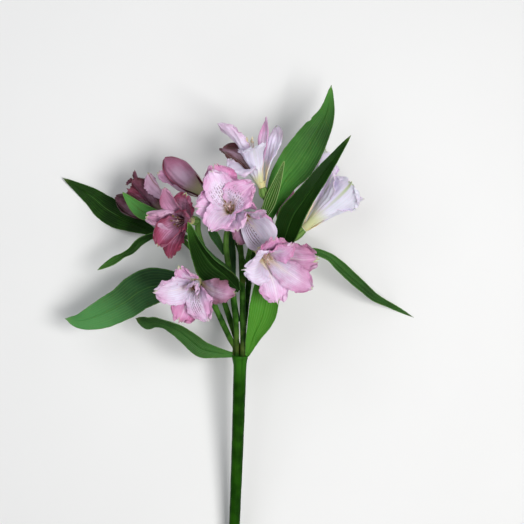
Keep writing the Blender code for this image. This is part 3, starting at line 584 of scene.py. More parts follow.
tepals = {
    "a": [outer(11.6, 25, 28, 11.5, 70, (0.95, 0, 0, 0.4), 1, skew=-3, edges=(60, 0)),
          outer(5.3, 18, 28, 9.5, 66, (0.5, 0, 0, 0.5), 0.9, cup=(0, 14)),
          outer(8.8, 19, 27, 12, 80, (0.6, 0, 0, 0.4), 1),
          inner(11.1, 20.5, 34, 10.5, 80, (0.56, 0.84, 0, 0.4), 0.9),
          inner(1.9, 19, 34, 11, 75, (0.98, 0.78, 0, 0.4), 0.9),
          inner(6.9, 20, 33, 9.8, 78, (0.5, 0, 0, 0.4), 0.8)],
    "b": [outer(3.6, 15, 27, 8.5, 74, (0.55, 0, 0, 0.4), 0.3),
          outer(7, 15.5, 25, 8, 74, (0.8, 0, 0.8, 0.3), 0.6),
          outer(11.4, 12, 20, 7, 56, (0.7, 0, 0, 0.4)),
          inner(4.75, 17.5, 32, 12.5, 84, (0.18, 1, 0, 0.3), 0.2, start=18, cup=(-4, 0), wave=0.3,
                marked=0.05),
          inner(1.3, 11, 27, 4, 50, (0.6, 0.3, 0, 0.3)),
          inner(9.3, 8, 23, 3.5, 40, (0.4, 0.5, 0.3, 0.3))],
    # In c the brown of the tepals at 11.8 and 2.9 and the dark brown of the one at 4.2 are painted shade
    "c": [inner(11.8, 14.5, 29, 11, 62, (0.1, 0, 0.06, 0.2), 0.7, cup=(4, 10)),
          outer(4.2, 22, 28, 9.5, 70, (0.7, 0, 1, 0.1)),
          tepal("bud", 8.9, 21, 34, 7.2, 32, (0.1, 0, 0, 1), 0.3, cup=(0, 12), twist=-62, wave=0.3,
                tipCurl=-30, scorch=0.55),
          outer(1.7, 20, 19, 11, 100, (0.22, 0, 0, 0.2), 0.6, start=16, twist=40),
          inner(2.9, 15, 46, 9, 28, (0.42, 0, 0.12, 0), 0.7, cup=(10, 26), twist=-50),
          inner(8, 16, 40, 4.8, 16, (0.62, 0, 0.15, 0), 0.1, cup=(6, 30))],
    # In d the brown of the tepals at 2.7 and 3.9 is painted shade
    "d": [outer(11.9, 17.5, 28, 11.5, 84, (0.98, 0, 0, 0.3), 1.3),
          outer(2.7, 28, 30, 11, 78, (0.86, 0, 0.4, 1), 1.3, edges=(0, 50)),
          outer(5.5, 25, 28, 10.5, 88, (0.56, 0, 0, 0.5), 1.3),
          inner(0.9, 17.5, 33, 7.5, 74, (0.8, 0.2, 0, 0.3), 1, start=12),
          inner(8.9, 20, 34, 12.5, 84, (0.24, 0.12, 0, 0.4), 1.1, start=16),
          inner(3.9, 28.5, 33, 8.5, 88, (0.66, 0.25, 0.24, 0.7), 0.8)],
    # In e the brown of the tepal at 3.1 is partly painted shade
    "e": [outer(11.2, 17, 28, 7.5, 70, (0.82, 0.3, 0.05, 1), 1, cup=(4, 50)),
          outer(3.1, 27, 28, 8, 84, (0.9, 0, 0.75, 0.6), 1, cup=(0, -70), edges=(-40, -30), tipCurl=60),
          outer(6.8, 20, 28, 10, 85, (1, 0, 0.14, 0.4), 1.3),
          inner(0.9, 7, 33, 7, 16, (0.45, 0.2, 0, 0.2), 1.3, cup=(8, 60)),
          inner(9.2, 21, 34, 9.5, 80, (0.46, 0.3, 0.16, 0.6), 1, start=9),
          inner(4.9, 19, 33, 9, 78, (0.6, 0.98, 0.14, 0.4), 1, start=9, cup=(0, -26), marked=-0.1)],
    "f": [outer(9.3, 18, 28, 12.5, 60, (0.26, 0, 0, 0.9), 0.8, cup=(40, 130), edges=(30, 60)),
          outer(1.05, 19, 30, 8.5, 50, (1, 0.9, 0.1, 1), 0.8, cup=(0, 16)),
          outer(6.3, 23, 25, 6, 90, (0.86, 0, 0.1, 0.2), 0.8, edges=(-40, 0)),
          inner(7, 17, 31, 11, 76, (0.8, 0.2, 0.05, 0.7), 0.6, cup=(0, 34), edges=(30, 50)),
          inner(11.9, 20, 36, 7.4, 52, (0.34, 0.1, 0, 0.4), 0.3, cup=(10, 70)),
          inner(2.9, 13, 31, 8, 56, (1, 1, 0.2, 0.3), 0.9)],
    "g": closed(0.2, 0.6, 34.5, 9.2, -62, [(0.68, 0, 0.05, 0), (0.8, 0, 0.1, 0), (0.9, 0, 0.1, 0)],
                firstEdges=(0, -35))
         + [outer(3, 9.5, 32, 7, 10, (0.12, 0, 0, 0.9), 0.4, start=36, cup=(0, 0), twist=45)],
    "h": [outer(0.45, 15, 42, 13, 54, (0.1, 0, 0, 1), 1, start=15, cup=(-14, -30)),
          outer(3.2, 30, 42, 11, 50, (0.14, 0, 0, 0.9), 0.4, start=26, twist=35),
          outer(8.1, 12, 33, 8.5, 44, (0.14, 0, 0, 0.9)),
          inner(2.2, 20, 41, 9, 44, (0.22, 0.2, 0, 0.4), start=18, twist=30),
          inner(6.1, 9, 40, 5.5, 24, (0.3, 0.2, 0, 0.4), start=11),
          inner(10, 10, 41, 6, 26, (0.3, 0.2, 0, 0.4), start=11)],
    # In i the dark red-brown of the four tepals after the first is partly painted shade
    "i": [outer(10, 9.5, 28, 8.2, 24, (0.22, 0, 0, 1), start=24, cup=(0, 0)),
          outer(3.4, 8, 30, 9, 12, (1, 0, 0.8, 0.1), start=24, cup=(0, 0), twist=50),
          outer(1, 4, 32, 8, 8, (1, 0, 0.7, 0.1), start=24, cup=(0, 0)),
          inner(9, 2.5, 35, 4.5, 24, (1, 0.4, 0.8, 0.3), 0.6, start=8, cup=(0, 24)),
          inner(3, 4, 35, 4.5, 30, (1, 0.4, 0.9, 0.3), 0.6, start=8, cup=(0, 24), tipCurl=50)],
    "j": closed(0.4, 0.6, 29, 7.4, -55, [(1, 0, 1, 0.1), (1, 0, 1, 0.1), (1, 0, 0.9, 0.1)]),
    "k": closed(0, 0.7, 25, 6, -45, [(0.7, 0, 0.1, 0.4), (0.8, 0, 0.2, 0.4), (0.8, 0, 0.2, 0.4)]),
}

bladeForm = {
    "outer": dict(foot=2.3, start=13, widest=0.74, claw=0.15, roundness=0.5, endWidth=0.42, droop=0.085,
                  notch=0.035, mucro=0.060),
    "inner": dict(foot=1.5, start=6, widest=0.70, claw=0.13, roundness=0.62, endWidth=0.24, droop=0.050,
                  notch=0.0, mucro=0.018),
    "bud": dict(foot=2.3, start=24, widest=0.55, claw=0.24, roundness=0.75, endWidth=0.05, droop=0.0,
                notch=0.0, mucro=0.0),
    "footHeight": 0.9,
    "handles": (0.42, 0.36),
    "railSteps": 120,
    "beyond": 0.1,  # share of its length by which the rail goes on past the tip
    "waves": 1.4,
    "waveStarts": (2.1, 0.4),  # right and left of the midrib
    "frillDepth": 1.5,
    "frillWidth": 0.75,
    "endFrill": 0.030,
    "fluteDepth": 0.30,
    "ribDepth": 0.55,
    "unevenness": 0.55,
    "thickness": 0.42,
    "clearance": 0.55,
    "cellsAcross": 28,
    "cellsAlong": 44,
    "crowd": 1.3,
}

petalFinishes = {
    "pinkFront": dict(white=(0.81, 0.77, 0.93), pink=(0.70, 0.38, 0.60), deep=(0.58, 0.20, 0.38),
                      throat=(0.92, 0.74, 0.44), vein=(0.60, 0.25, 0.43), brown=(0.095, 0.038, 0.036),
                      green=(0.42, 0.55, 0.20), rib=(0.88, 0.78, 0.84), mark=(0.13, 0.02, 0.045)),
    "pinkBack": dict(white=(0.82, 0.80, 0.95), pink=(0.72, 0.47, 0.66), deep=(0.56, 0.24, 0.40),
                     throat=(0.70, 0.70, 0.38), vein=(0.68, 0.42, 0.56), brown=(0.085, 0.034, 0.034),
                     green=(0.44, 0.58, 0.24), rib=(0.50, 0.60, 0.30)),
    "roseFront": dict(white=(0.56, 0.32, 0.48), pink=(0.31, 0.060, 0.125), deep=(0.17, 0.014, 0.028),
                      throat=(0.20, 0.035, 0.045), vein=(0.20, 0.02, 0.04), brown=(0.042, 0.010, 0.012),
                      green=(0.46, 0.50, 0.24), rib=(0.66, 0.34, 0.50), mark=(0.07, 0.006, 0.014)),
    "roseBack": dict(white=(0.60, 0.42, 0.56), pink=(0.38, 0.135, 0.235), deep=(0.24, 0.048, 0.080),
                     throat=(0.46, 0.44, 0.24), vein=(0.30, 0.10, 0.16), brown=(0.038, 0.010, 0.012),
                     green=(0.40, 0.44, 0.20), rib=(0.28, 0.13, 0.12)),
}

roseBlooms = "fgijk"
buds = {"g": 5.2, "j": 4.4, "k": 3.4}  # radius of the closed heart of a bud
heartShape = [(0.02, 0.3), (0.12, 0.55), (0.28, 0.84), (0.5, 1.0), (0.72, 0.82), (0.88, 0.45), (0.96, 0.12)]
cup = {"foot": 2.43, "radius": 2.7, "height": 3.6, "sides": 24}


def petalFinish(name, white, pink, deep, throat, vein, brown, green, rib, mark=None):
    # Only the front has marks, and a throat along its midrib
    back = mark is None
    material, shader, wire = newFinish(name)
    across, along, (blush, marks, brownAndShade, greened) = patternOf(wire)
    off = abs(across * 2.0 - 1.0)  # 0 on the midrib, 1 at the margin
    patches = wire.noise(110.0, 3.0) - 0.5
    fine = wire.noise(420.0) - 0.5

    margin = off ** 2.0 * 0.55 + along.ramp(0.34, 0.92) * 0.75 + patches * 1.2 + fine * 0.45
    share = blush * (0.26 + margin * 0.90 - 0.32 * marks.ramp(0.05, 0.5))
    colour = wire.mix(share.ramp(0.0, 0.72), white, pink)
    colour = wire.mix(share.ramp(0.60, 1.35), colour, deep)

    bend = patches * 0.9
    veins = across.lines(15.0, 0.16, bend) * along.ramp(0.98, 0.7)
    veins = veins + 0.5 * across.lines(43.0, 0.22, bend * 2.0)
    colour = wire.mix(veins * (0.16 + 0.50 * blush), colour, vein)
    midrib = off.ramp(0.13 if back else 0.075, 0.01)
    ribShare = greened * along.ramp(0.02, 0.9) if back else 0.55 * along.ramp(0.95, 0.5)
    colour = wire.mix(midrib * ribShare, colour, rib)
    colour = wire.mix(along.ramp(0.36, 0.10), colour, throat)
    if not back:
        colour = wire.mix(along.ramp(0.62, 0.25) * off.ramp(0.42, 0.05) * 0.4, colour, throat)
        # Brown at the very foot of the front, deep in the throat between the tepals: painted shade
        colour = wire.mix(along.ramp(0.11, 0.02) * 0.5, colour, brown)
        lane = across * 15.0 + patches * 0.9
        chance = wire.add("ShaderNodeTexWhiteNoise", {"noise_dimensions": "1D"}, {"W": lane.floor()})
        dash = abs((along * 11.5 + chance * 9.0).fraction() - 0.5)
        narrow = abs(lane.fraction() - 0.5).ramp(0.18, 0.07)
        long = (marks * 0.64 - 0.14 - dash).ramp(0.0, 0.08)
        zone = along.ramp(0.14, 0.24) * (marks * 0.50 + 0.34 - along).ramp(0.0, 0.16) * off.ramp(0.86, 0.6)
        strength = marks.ramp(0.0, 0.6) * chance.ramp(-0.3, 0.35)
        colour = wire.mix(narrow * long * zone * strength, colour, mark)

    # Brown by the third tone: partly the tepal's own brown, partly painted shade where a tepal stands in
    # shadow
    colour = wire.mix(brownAndShade * (patches * 1.2 + off * 0.35 + 0.70), colour, brown)
    tip = along.ramp(0.935, 0.99) * off.ramp(0.42, 0.15)
    colour = wire.mix(tip * greened, colour, green)
    colour.into(shader, "Base Color")

    (0.46 + 0.22 * wire.noise(900.0)).into(shader, "Roughness")
    relief(wire, shader, veins * 0.55 + fine * 1.2 + wire.noise(3000.0) * 0.35, 0.35, 0.16)
    settle(shader, Specular_IOR_Level=0.20, Sheen_Weight=0.08, Sheen_Roughness=0.45)
    settle(shader, Subsurface_Weight=0.30, Subsurface_Scale=0.0022, Subsurface_Radius=(0.9, 0.6, 0.75))
    return material


def midribRail(t):
    # The midrib seen from the side: how far from the axis and how high, and its heading
    form, outline = bladeForm, bladeForm[t["kind"]]
    foot, tip = np.array((outline["foot"], form["footHeight"])), np.array((t["reach"], t["rise"]))
    chord = np.linalg.norm(tip - foot)
    start = math.radians(outline["start"] if t["start"] is None else t["start"])
    lip = math.radians(t["lip"])
    p1 = foot + form["handles"][0] * chord * np.array((math.sin(start), math.cos(start)))
    p2 = tip - form["handles"][1] * chord * np.array((math.sin(lip), math.cos(lip)))
    x = np.linspace(0.0, 1.0, form["railSteps"])[:, None]
    fine = (1 - x) ** 3 * foot + 3 * (1 - x) ** 2 * x * p1 + 3 * (1 - x) * x * x * p2 + x ** 3 * tip
    steps = np.diff(fine, axis=0)
    run = np.concatenate([[0.0], np.cumsum(np.linalg.norm(steps, axis=1))])
    run /= run[-1]
    turned = np.radians(t["tipCurl"]) * smooth(0.78, 1.0, run[1:])
    bent = np.stack([steps[:, 0] * np.cos(turned) + steps[:, 1] * np.sin(turned),
                     steps[:, 1] * np.cos(turned) - steps[:, 0] * np.sin(turned)], axis=1)
    fine = foot + np.concatenate([[[0.0, 0.0]], np.cumsum(bent, axis=0)])
    heading = unit(np.gradient(fine, axis=0))
    beyond = np.linalg.norm(steps, axis=1).sum() * form["beyond"]
    fine = np.concatenate([fine, [fine[-1] + heading[-1] * beyond]])
    heading = np.concatenate([heading, heading[-1:]])
    return np.append(run, 1 + form["beyond"]), fine, heading


def walkAcross(u, curl, roll, rollFrom):
    # From the midrib to each point of a curled section, rolled more near its margins: how far
    # sideways and how high
    steps = 16
    far, high = np.zeros(len(u)), np.zeros(len(u))
    for k in range(steps):
        part = u * (k + 0.5) / steps
        angle = curl * part + np.radians(roll) * np.sign(part) * smooth(rollFrom, 1.0, np.abs(part))
        far += np.cos(angle) * u / steps
        high += np.sin(angle) * u / steps
    return far, high


def layTepal(bloom, t, seed, capsules):
    axis, up, right = bloomAxes(bloom)
    turn = math.radians(t["clock"] * 30)
    out = up * math.cos(turn) + right * math.sin(turn)
    side = -up * math.sin(turn) + right * math.cos(turn)
    form, outline = bladeForm, bladeForm[t["kind"]]
    shares, rail, heading = midribRail(t)

    def along2(table, at):
        return np.stack([np.interp(at, shares, column) for column in table.T], axis=1)

    def lay(across, along):
        u = 2.0 * across - 1.0
        s = 1.0 - (1.0 - along) ** form["crowd"]
        # A narrow claw, then a round blade whose end is drooped, notched and pointed
        past = np.clip((s - outline["widest"]) / (1 - outline["widest"]), 0, 1)
        claw = outline["claw"] + (1 - outline["claw"]) * smooth(0.08, outline["widest"], s) ** 0.85
        blade = outline["endWidth"] + (1 - outline["endWidth"]) * (1 - past ** 2) ** outline["roundness"]
        half = t["half"] * np.where(s < outline["widest"], claw, blade)
        end = (-outline["droop"] * np.abs(u) ** 2.6 - outline["notch"] * np.exp(-(u / 0.30) ** 2)
               + outline["mucro"] * np.exp(-(u / 0.09) ** 2))
        frill = t["crimp"]
        end = end + form["endFrill"] * frill * sway(u * 9.0, seed + 3)
        at = s + end * smooth(0.5, 1.0, s)

        row, rowHeading = along2(rail, s), along2(heading, s)
        centre2, heading2 = along2(rail, at), along2(heading, at)
        funnel = half * rowHeading[:, 1] / np.maximum(row[:, 0], half * 0.6)
        more = t["cup"][0] * smooth(0.1, 0.5, s) + (t["cup"][1] - t["cup"][0]) * smooth(0.55, 1.0, s)
        roll = np.where(u > 0, t["edges"][1], t["edges"][0]) * smooth(0.35, 0.8, s)
        far, high = walkAcross(u, funnel + np.radians(more), roll, 0.55)
        margin, hand = np.abs(u), np.sign(u)
        ruffled = smooth(0.4, 0.8, s)
        deep = frill * form["frillDepth"]
        phase = math.tau * form["waves"] * s + np.where(u > 0, *form["waveStarts"]) + t["clock"]
        lift = t["wave"] * margin ** 2.5 * ruffled * np.sin(phase)
        lift += deep * margin ** 4 * smooth(0.3, 0.65, s) * sway(s * 34.0 + hand * 5, seed)
        lift += deep * smooth(0.80, 1.0, s) * sway(u * 11.0, seed + 1) * (0.3 + 0.7 * margin)
        flutes = np.cos(math.tau * 2.5 * margin)
        lift += form["fluteDepth"] * flutes * smooth(0.12, 0.4, s) * smooth(1.0, 0.7, s)
        lift -= form["ribDepth"] * np.exp(-(u / 0.10) ** 2) * smooth(0.1, 0.35, s) * (1.0 - 0.6 * s)
        lift += form["unevenness"] * sway(s * 6.0 + u * 1.5, seed + 5) * smooth(0.2, 0.5, s)
        spread = form["frillWidth"] * frill * hand * margin ** 3 * ruffled
        far = far * half + spread * sway(s * 27.0 + hand * 9, seed + 7)
        high = high * half + lift

        lean = np.radians(t["twist"]) * s * s
        centre = bloom["base"] + out * centre2[:, :1] + axis * centre2[:, 1:]
        centre = centre + side * (t["skew"] * s * s)[:, None]
        face = axis * heading2[:, :1] - out * heading2[:, 1:]
        wide = side * np.cos(lean)[:, None] + face * np.sin(lean)[:, None]
        tall = face * np.cos(lean)[:, None] - side * np.sin(lean)[:, None]
        placed = centre + wide * far[:, None] + tall * high[:, None]
        tone = np.tile(np.array(t["look"], float), (len(u), 1))
        tone[:, 1] *= smooth(t["marked"] - 0.2, t["marked"] + 0.2, u)
        # More brown towards the end of the tepal
        tone[:, 2] += t["scorch"] * smooth(0.68, 0.90, s)
        return pushClear(placed, capsules, form["clearance"]), tone

    return lay


def buildBloom(letter, capsules):
    bloom = blooms[letter]
    axis, base = bloomAxes(bloom)[0], bloom["base"]
    rosy = "rose" if letter in roseBlooms else "pink"
    front, back = finishes[rosy + "Front"], finishes[rosy + "Back"]
    route = [base + axis * cup["height"] * s for s in (0.0, 0.3, 0.7, 1.0)]
    radii = np.linspace(cup["foot"], cup["radius"], len(route))
    parts = [tube("cup", route, radii, cup["sides"], finishes["stamenSkin"], (0, 0, 0, 1))]
    if letter in buds:
        length = tepals[letter][0]["rise"]
        heart = spline([(*(base + axis * length * s), buds[letter] * r) for s, r in heartShape], 24)
        parts.append(tube("heart", heart[:, :3], heart[:, 3], cup["sides"], back, (0.9, 0, 0.3, 0)))
    others = [c for c in capsules if np.linalg.norm(c[1] - base) > 0.1]
    for k, t in enumerate(tepals[letter]):
        seed = ord(letter) * 1.3 + k * 2.1
        lay = layTepal(bloom, t, seed, others)
        sheet = laidGrid("tepal", bladeForm["cellsAcross"], bladeForm["cellsAlong"], lay)
        parts.append(thicken(sheet, bladeForm["thickness"], front, back))
    declare(joined("bloom" + letter.upper(), parts, 60), "tepals_" + letter)


# Stamens: the length of a bloom's stamens, how far their tips stand from its axis, how ripe they are

stamens = {"a": (17, 3.0, 1.0), "b": (9, 1.5, 1.0), "c": (26, 2.6, 0.1), "d": (14, 2.4, 0.5),
           "e": (11, 1.2, 1.0), "f": (18, 3.2, 1.0), "h": (22, 1.6, 0.6)}

stamenForm = {
    "count": 6,
    "gap": 0.3,
    "disc": [(0.0, 1.0), (0.3, 1.2), (0.8, 1.1), (1.0, 0.8)],  # height, radius
    "filament": 0.34,
    "foot": 0.7,
    "sink": 0.5,
    "drift": 0.4,
    "lean": 0.4,
    "antherLength": 2.6,
    "antherRadius": 0.5,
    "antherRibs": (2, 0.22),
    "styleShare": 0.9,
    "styleRadii": (0.42, 0.3),
    "lobes": 3,
    "lobeRadii": [0.26, 0.24, 0.2, 0.16, 0.1],
    "rings": {"filament": 14, "anther": 9, "style": 12, "lobe": 5},
    "sides": {"disc": 18, "filament": 8, "anther": 12, "style": 8, "lobe": 6},
    "filamentColour": (0.80, 0.62, 0.58),
    "filamentPatches": (0.88, 0.78, 0.66),
    "creamColour": (0.66, 0.60, 0.28),
    "styleColour": (0.84, 0.66, 0.62),
    "antherColour": (0.15, 0.070, 0.028),
    "pollenColour": (0.30, 0.18, 0.07),
}


def stamenFinish():
    material, shader, wire = newFinish("stamenSkin")
    _, _, (anther, style, _, cream) = patternOf(wire)
    form = stamenForm
    patches = wire.noise(500.0)
    colour = wire.mix(patches.ramp(0.35, 0.65) * 0.5, form["filamentColour"], form["filamentPatches"])
    colour = wire.mix(cream, colour, form["creamColour"])
    colour = wire.mix(style, colour, form["styleColour"])
    grains = wire.noise(2600.0).ramp(0.45, 0.7)
    pollen = wire.mix(grains, form["antherColour"], form["pollenColour"])
    colour = wire.mix(anther, colour, pollen)
    colour.into(shader, "Base Color")
    (0.42 + anther * 0.4).into(shader, "Roughness")
    relief(wire, shader, anther * grains + patches * 0.3, 0.5, 0.12)
    settle(shader, Subsurface_Weight=0.15, Subsurface_Scale=0.001)
    return material


def buildStamens(letter):
    bloom, form = blooms[letter], stamenForm
    axis, up, right = bloomAxes(bloom)
    base = bloom["base"] + axis * (cup["height"] + form["gap"])
    length, spread, ripe = stamens[letter]
    parts = []

    def grow(kind, route, radii, tone, ribs=(0, 0.0)):
        parts.append(tube(kind, route, radii, form["sides"][kind], finishes["stamenSkin"], tone, ribs))

    def outwards(turn):
        return up * math.cos(turn) + right * math.sin(turn)

    def filamentTone(row, turn):
        none = 0 * row
        return np.stack([none, none, none, smooth(6, 1, row)], 1)

    heights, radii = zip(*form["disc"])
    grow("disc", [base + axis * h for h in heights], radii, (0, 0, 0, 1))
    for k in range(form["count"]):
        out = outwards(math.tau * (k + 0.5) / form["count"])
        tipOut = spread * (0.7 + 0.15 * (k % 3))
        tall = length * (1.0 - 0.07 * (k % 2))
        share = np.linspace(0, 1, form["rings"]["filament"])
        rise = form["sink"] + tall * share
        reach = form["foot"] + (tipOut - form["foot"]) * share ** 1.6
        drift = up * (form["drift"] * math.sin(k * 2.3)) + right * (form["drift"] * math.cos(k * 1.7))
        route = base + axis * rise[:, None] + out * reach[:, None] + drift * (share ** 2)[:, None]
        grow("filament", route, form["filament"] * (1.0 - 0.35 * share), filamentTone)
        lean = unit(out * form["lean"] * (1.5 if k % 2 else 0.6) + axis)
        tip = route[-1] + lean * 0.15
        share = np.linspace(0.02, 0.98, form["rings"]["anther"])
        route = [tip + lean * (form["antherLength"] * s - 0.4) for s in share]
        radii = form["antherRadius"] * np.sin(np.pi * share) ** 0.6
        grow("anther", route, radii, (ripe, 0, 0, 0.6), form["antherRibs"])

    tall = length * form["styleShare"]
    rings = form["rings"]["style"]
    share = np.linspace(0, 1, rings)
    style = [base + axis * (form["sink"] + tall * s) + right * 0.5 * s * s for s in share]
    grow("style", style, np.linspace(*form["styleRadii"], rings), (0, 1, 0, 0))
    for k in range(form["lobes"]):
        out = outwards(math.tau * k / form["lobes"])
        share = np.linspace(0, 1, form["rings"]["lobe"])
        lobe = [style[-1] + axis * 1.5 * s + out * 1.1 * s ** 1.5 for s in share]
        grow("lobe", lobe, form["lobeRadii"], (0, 1, 0, 0))
    declare(joined("stamens" + letter.upper(), parts), "stamens_" + letter)


# Leaves: each station is x, y, z, half the width, and the turn about its own line if it has one.
# curl is how steeply the halves rise from the midrib, wave its ripples, tone how bright along its
# length, blue, yellow-tipped and pale-veined a leaf is, how bright being partly the leaf's own tone and
# partly painted light, shade and highlights, and the blue partly its tint and partly a painted sheen;
# split, painted light too, is how much brighter its right half is, edges an extra roll of its left
# and right margins, bite a gap in one margin: where along it, on which side, how deep.

leaves = {
    "leaf_top_broad": dict(curl=16, wave=0.5, split=-0.18, bite=(0.74, -1, 1.1),
        tone=((0.9, 1.2, 1.35, 0.8, 0.4, 0.25, 0.4, 1), 0.3, 0.1, 0.15), stations=[
        (14.4, 75, 34, 1), (19.8, 92, 40, 4.5, 5), (27, 108, 44, 9.3, 8), (36.5, 121, 47, 11.9, 5),
        (47, 138, 49, 9.4), (54, 151.5, 48, 5, -5), (57, 168.5, 45, 0.5, -5)]),
    "leaf_right_dark": dict(curl=18, wave=0.4, tone=((-0.05, -0.1, -0.08, 0.1), 0, 0.1, 0), stations=[
        (22, 46.5, 30.5, 1.2), (24.5, 60, 40, 3.5, 10), (27.6, 72, 48, 7.2, 15), (32.6, 86, 54, 9, 15),
        (38.5, 95, 57, 7.4, 15), (46, 105.5, 60, 6, 15), (54, 116.5, 60, 4.4, 15),
        (68.6, 136.4, 57, 0.5, 15)]),
    "leaf_centre_narrow": dict(curl=24, wave=0.2, tone=((0.25, 0.35, 0.35), 0, 0.2, 1), stations=[
        (12.8, 82.5, 39.8, 0.8), (16, 89, 48, 2.6), (18.8, 96, 53, 4), (23, 107, 57, 2.8),
        (27.5, 120.5, 58, 0.4)]),
    "leaf_right_drooping": dict(curl=34, wave=0.3, rests=True,
        tone=((0.2, 0.35, 0.2, 0.2), 0.3, 0.1, 0.3), stations=[
        (28.5, 54.5, 29.5, 1.2), (34, 60, 38, 2.2), (44, 64.5, 46, 2.8, 10), (54.5, 61.5, 49, 3, 15),
        (61, 56, 46.5, 4.2, 15), (69, 49, 38, 4.3, 10), (77.6, 42, 27.5, 3.8, 5), (86, 35.5, 16.5, 3.1),
        (95, 31, 6, 2.1), (102, 27.5, 0.2, 1.6), (111.9, 22.3, -0.2, 0.4)]),
    "leaf_left_dark": dict(curl=6, wave=0.3, rests=True,
        tone=((-0.05, 0, 0, 0.12), 0, 0.1, 0.1), stations=[
        (-40.5, 73.5, 19.5, 1.2), (-52, 76, 14.5, 2.2), (-61, 79.8, 10.5, 4), (-71.5, 84.5, 5, 6.8),
        (-80, 88.5, 0.6, 8.4), (-88, 93.5, -0.5, 8), (-97, 101, 0.3, 5.6), (-114.4, 112.3, 3.5, 0.5)]),
    "leaf_left_curled": dict(curl=20, wave=0.3, tone=((-0.05, 0, 0.1, 0.5), 0.1, 0.1, 0.3), stations=[
        (-31.5, 73.2, 35.5, 1.2), (-40, 75.5, 38, 1.8, 10), (-49, 76.5, 38, 2.2, 30),
        (-56.5, 74.5, 37, 2.8, 40), (-63.5, 71, 36, 3.4, 40), (-68, 65.8, 35, 2.4, 20),
        (-73, 62.6, 34, 1.8, -10), (-80.5, 58.2, 33, 2.6, -20), (-89.9, 53.2, 31, 0.4, -20)]),
    "leaf_left_big": dict(curl=14, wave=0.6,
        tone=((0, 0, 0, 0.05, 0.25, 0.75, 1, 1.15), 0.8, 0.1, 0.15), stations=[
        (-14.5, 43.5, 38.5, 1.2), (-23, 42, 40, 2.6), (-33, 42, 41, 5.5, -5), (-43, 43.5, 41.5, 9.5, -8),
        (-54, 43, 41.5, 12, -8), (-63, 39.5, 40.5, 12, -5), (-73, 32.5, 38.5, 10.8), (-88, 25, 36, 9, 5),
        (-100.5, 21.2, 33, 5, 5), (-110.5, 22.5, 30, 0.6, 5)]),
    "leaf_left_low": dict(curl=16, wave=0.4, tone=((0.6, 0.25, 0.15, 0.1), 0.3, 0.1, 0.3), stations=[
        (-4.4, 0.3, 38.6, 1.6), (-7.5, 0.6, 40.4, 2.1, 2), (-16.1, 2.2, 44, 3.9, 5),
        (-24.1, 4.5, 46, 5.6, 8), (-32.2, 11, 46.5, 5, 5), (-39.1, 16, 46, 4.2, 15),
        (-46.5, 19.5, 44, 3.4, 30), (-53, 21, 42, 3.8, 30), (-58, 20.5, 40, 4.4, 25),
        (-62.5, 21.8, 38.5, 2.4, 15), (-65.5, 23, 37, 0.5, 10)]),
    "leaf_centre_rolled": dict(curl=30, wave=0.3, edges=(0, 70),
        tone=((-0.1, -0.12, -0.05, 0.3), 0, 0.1, 0.2), stations=[
        (-0.6, 40.5, 49.4, 1.2), (-7.9, 48.6, 58.5, 7.8, 10), (-16.8, 56.2, 66, 11.4, 15),
        (-22.4, 63.9, 73, 8.2, 15), (-27.1, 72.8, 80, 4.8, 10), (-30.7, 82.4, 87, 0.4)]),
    "leaf_right_of_stem": dict(curl=22, wave=0.5, split=-0.2,
        tone=((1.1, 1.15, 0.85, 0.75), 0, 0.1, 0.3), stations=[
        (3.9, 0, 38.9, 1.6), (5.3, 2.6, 42.5, 2.2), (8.8, 12.8, 47, 5.2), (13.2, 23.5, 50, 8.8),
        (15.4, 33.4, 52, 9.6), (16.6, 44, 51.5, 8), (17.8, 54.5, 49, 5), (19, 64.4, 45, 0.5)]),
    "leaf_left_small": dict(curl=24, wave=0.2, tone=((0.8, 0.9, 1.2), 0.45, 0.1, 0.4), stations=[
        (-33.6, 78.6, 38.3, 1), (-41, 81.5, 45, 2), (-47, 84.5, 48, 3), (-53, 87, 49, 4.4),
        (-60, 89.5, 49, 5.2), (-66, 94, 48, 3.8), (-73, 101.7, 46, 0.4)]),
    "leaf_behind_narrow": dict(curl=18, wave=0.2, tone=((0, 0.05), 0.6, 0, 0.2), stations=[
        (-0.4, 21, 41.6, 0.8), (-4.2, 36, 40, 2), (-5.2, 50, 40, 2.7), (-5.2, 64, 41, 2.7),
        (-6, 78, 41, 1.9), (-7.5, 90, 40, 0.4)]),
    "leaf_bract": dict(curl=22, wave=0.1, tone=((0.05, 0.1), 0.5, 0, 0.2), stations=[
        (-9.5, 63, 51, 1), (-13, 70, 50, 2.4), (-16.5, 76, 50, 2.8), (-21, 84, 48, 0.4)]),
}

leafForm = {
    "thickness": 0.46,
    "clearance": 0.3,
    "rings": 140,
    "lowest": 1.0,  # above the floor, for a leaf that doesn't rest on it
    "lowestAtRest": 0.02,
    "fullWidth": 5.0,  # narrower stretches have shallower ribs
    "biteLength": 0.010,
    "biteDepth": 0.12,
    "flutes": 9,
    "fluteDepth": 0.055,
    "ribDepth": 0.55,
    "finePoint": 0.05,
    "paleVein": (0.34, 0.44, 0.19),
    "cellsAcross": 40,
    "cellsAlong": 90,
}

leafFinishes = {
    "leafTop": dict(dark=(0.004, 0.022, 0.001), bright=(0.060, 0.232, 0.018), blue=(0.085, 0.260, 0.105),
                    vein=(0.120, 0.300, 0.060), tipColour=(0.40, 0.42, 0.10), rough=0.38, rib=0.26),
    "leafUnder": dict(dark=(0.018, 0.058, 0.012), bright=(0.090, 0.245, 0.046), blue=(0.070, 0.200, 0.100),
                      vein=(0.170, 0.340, 0.100), tipColour=(0.40, 0.42, 0.12), rough=0.50, rib=0.75),
}


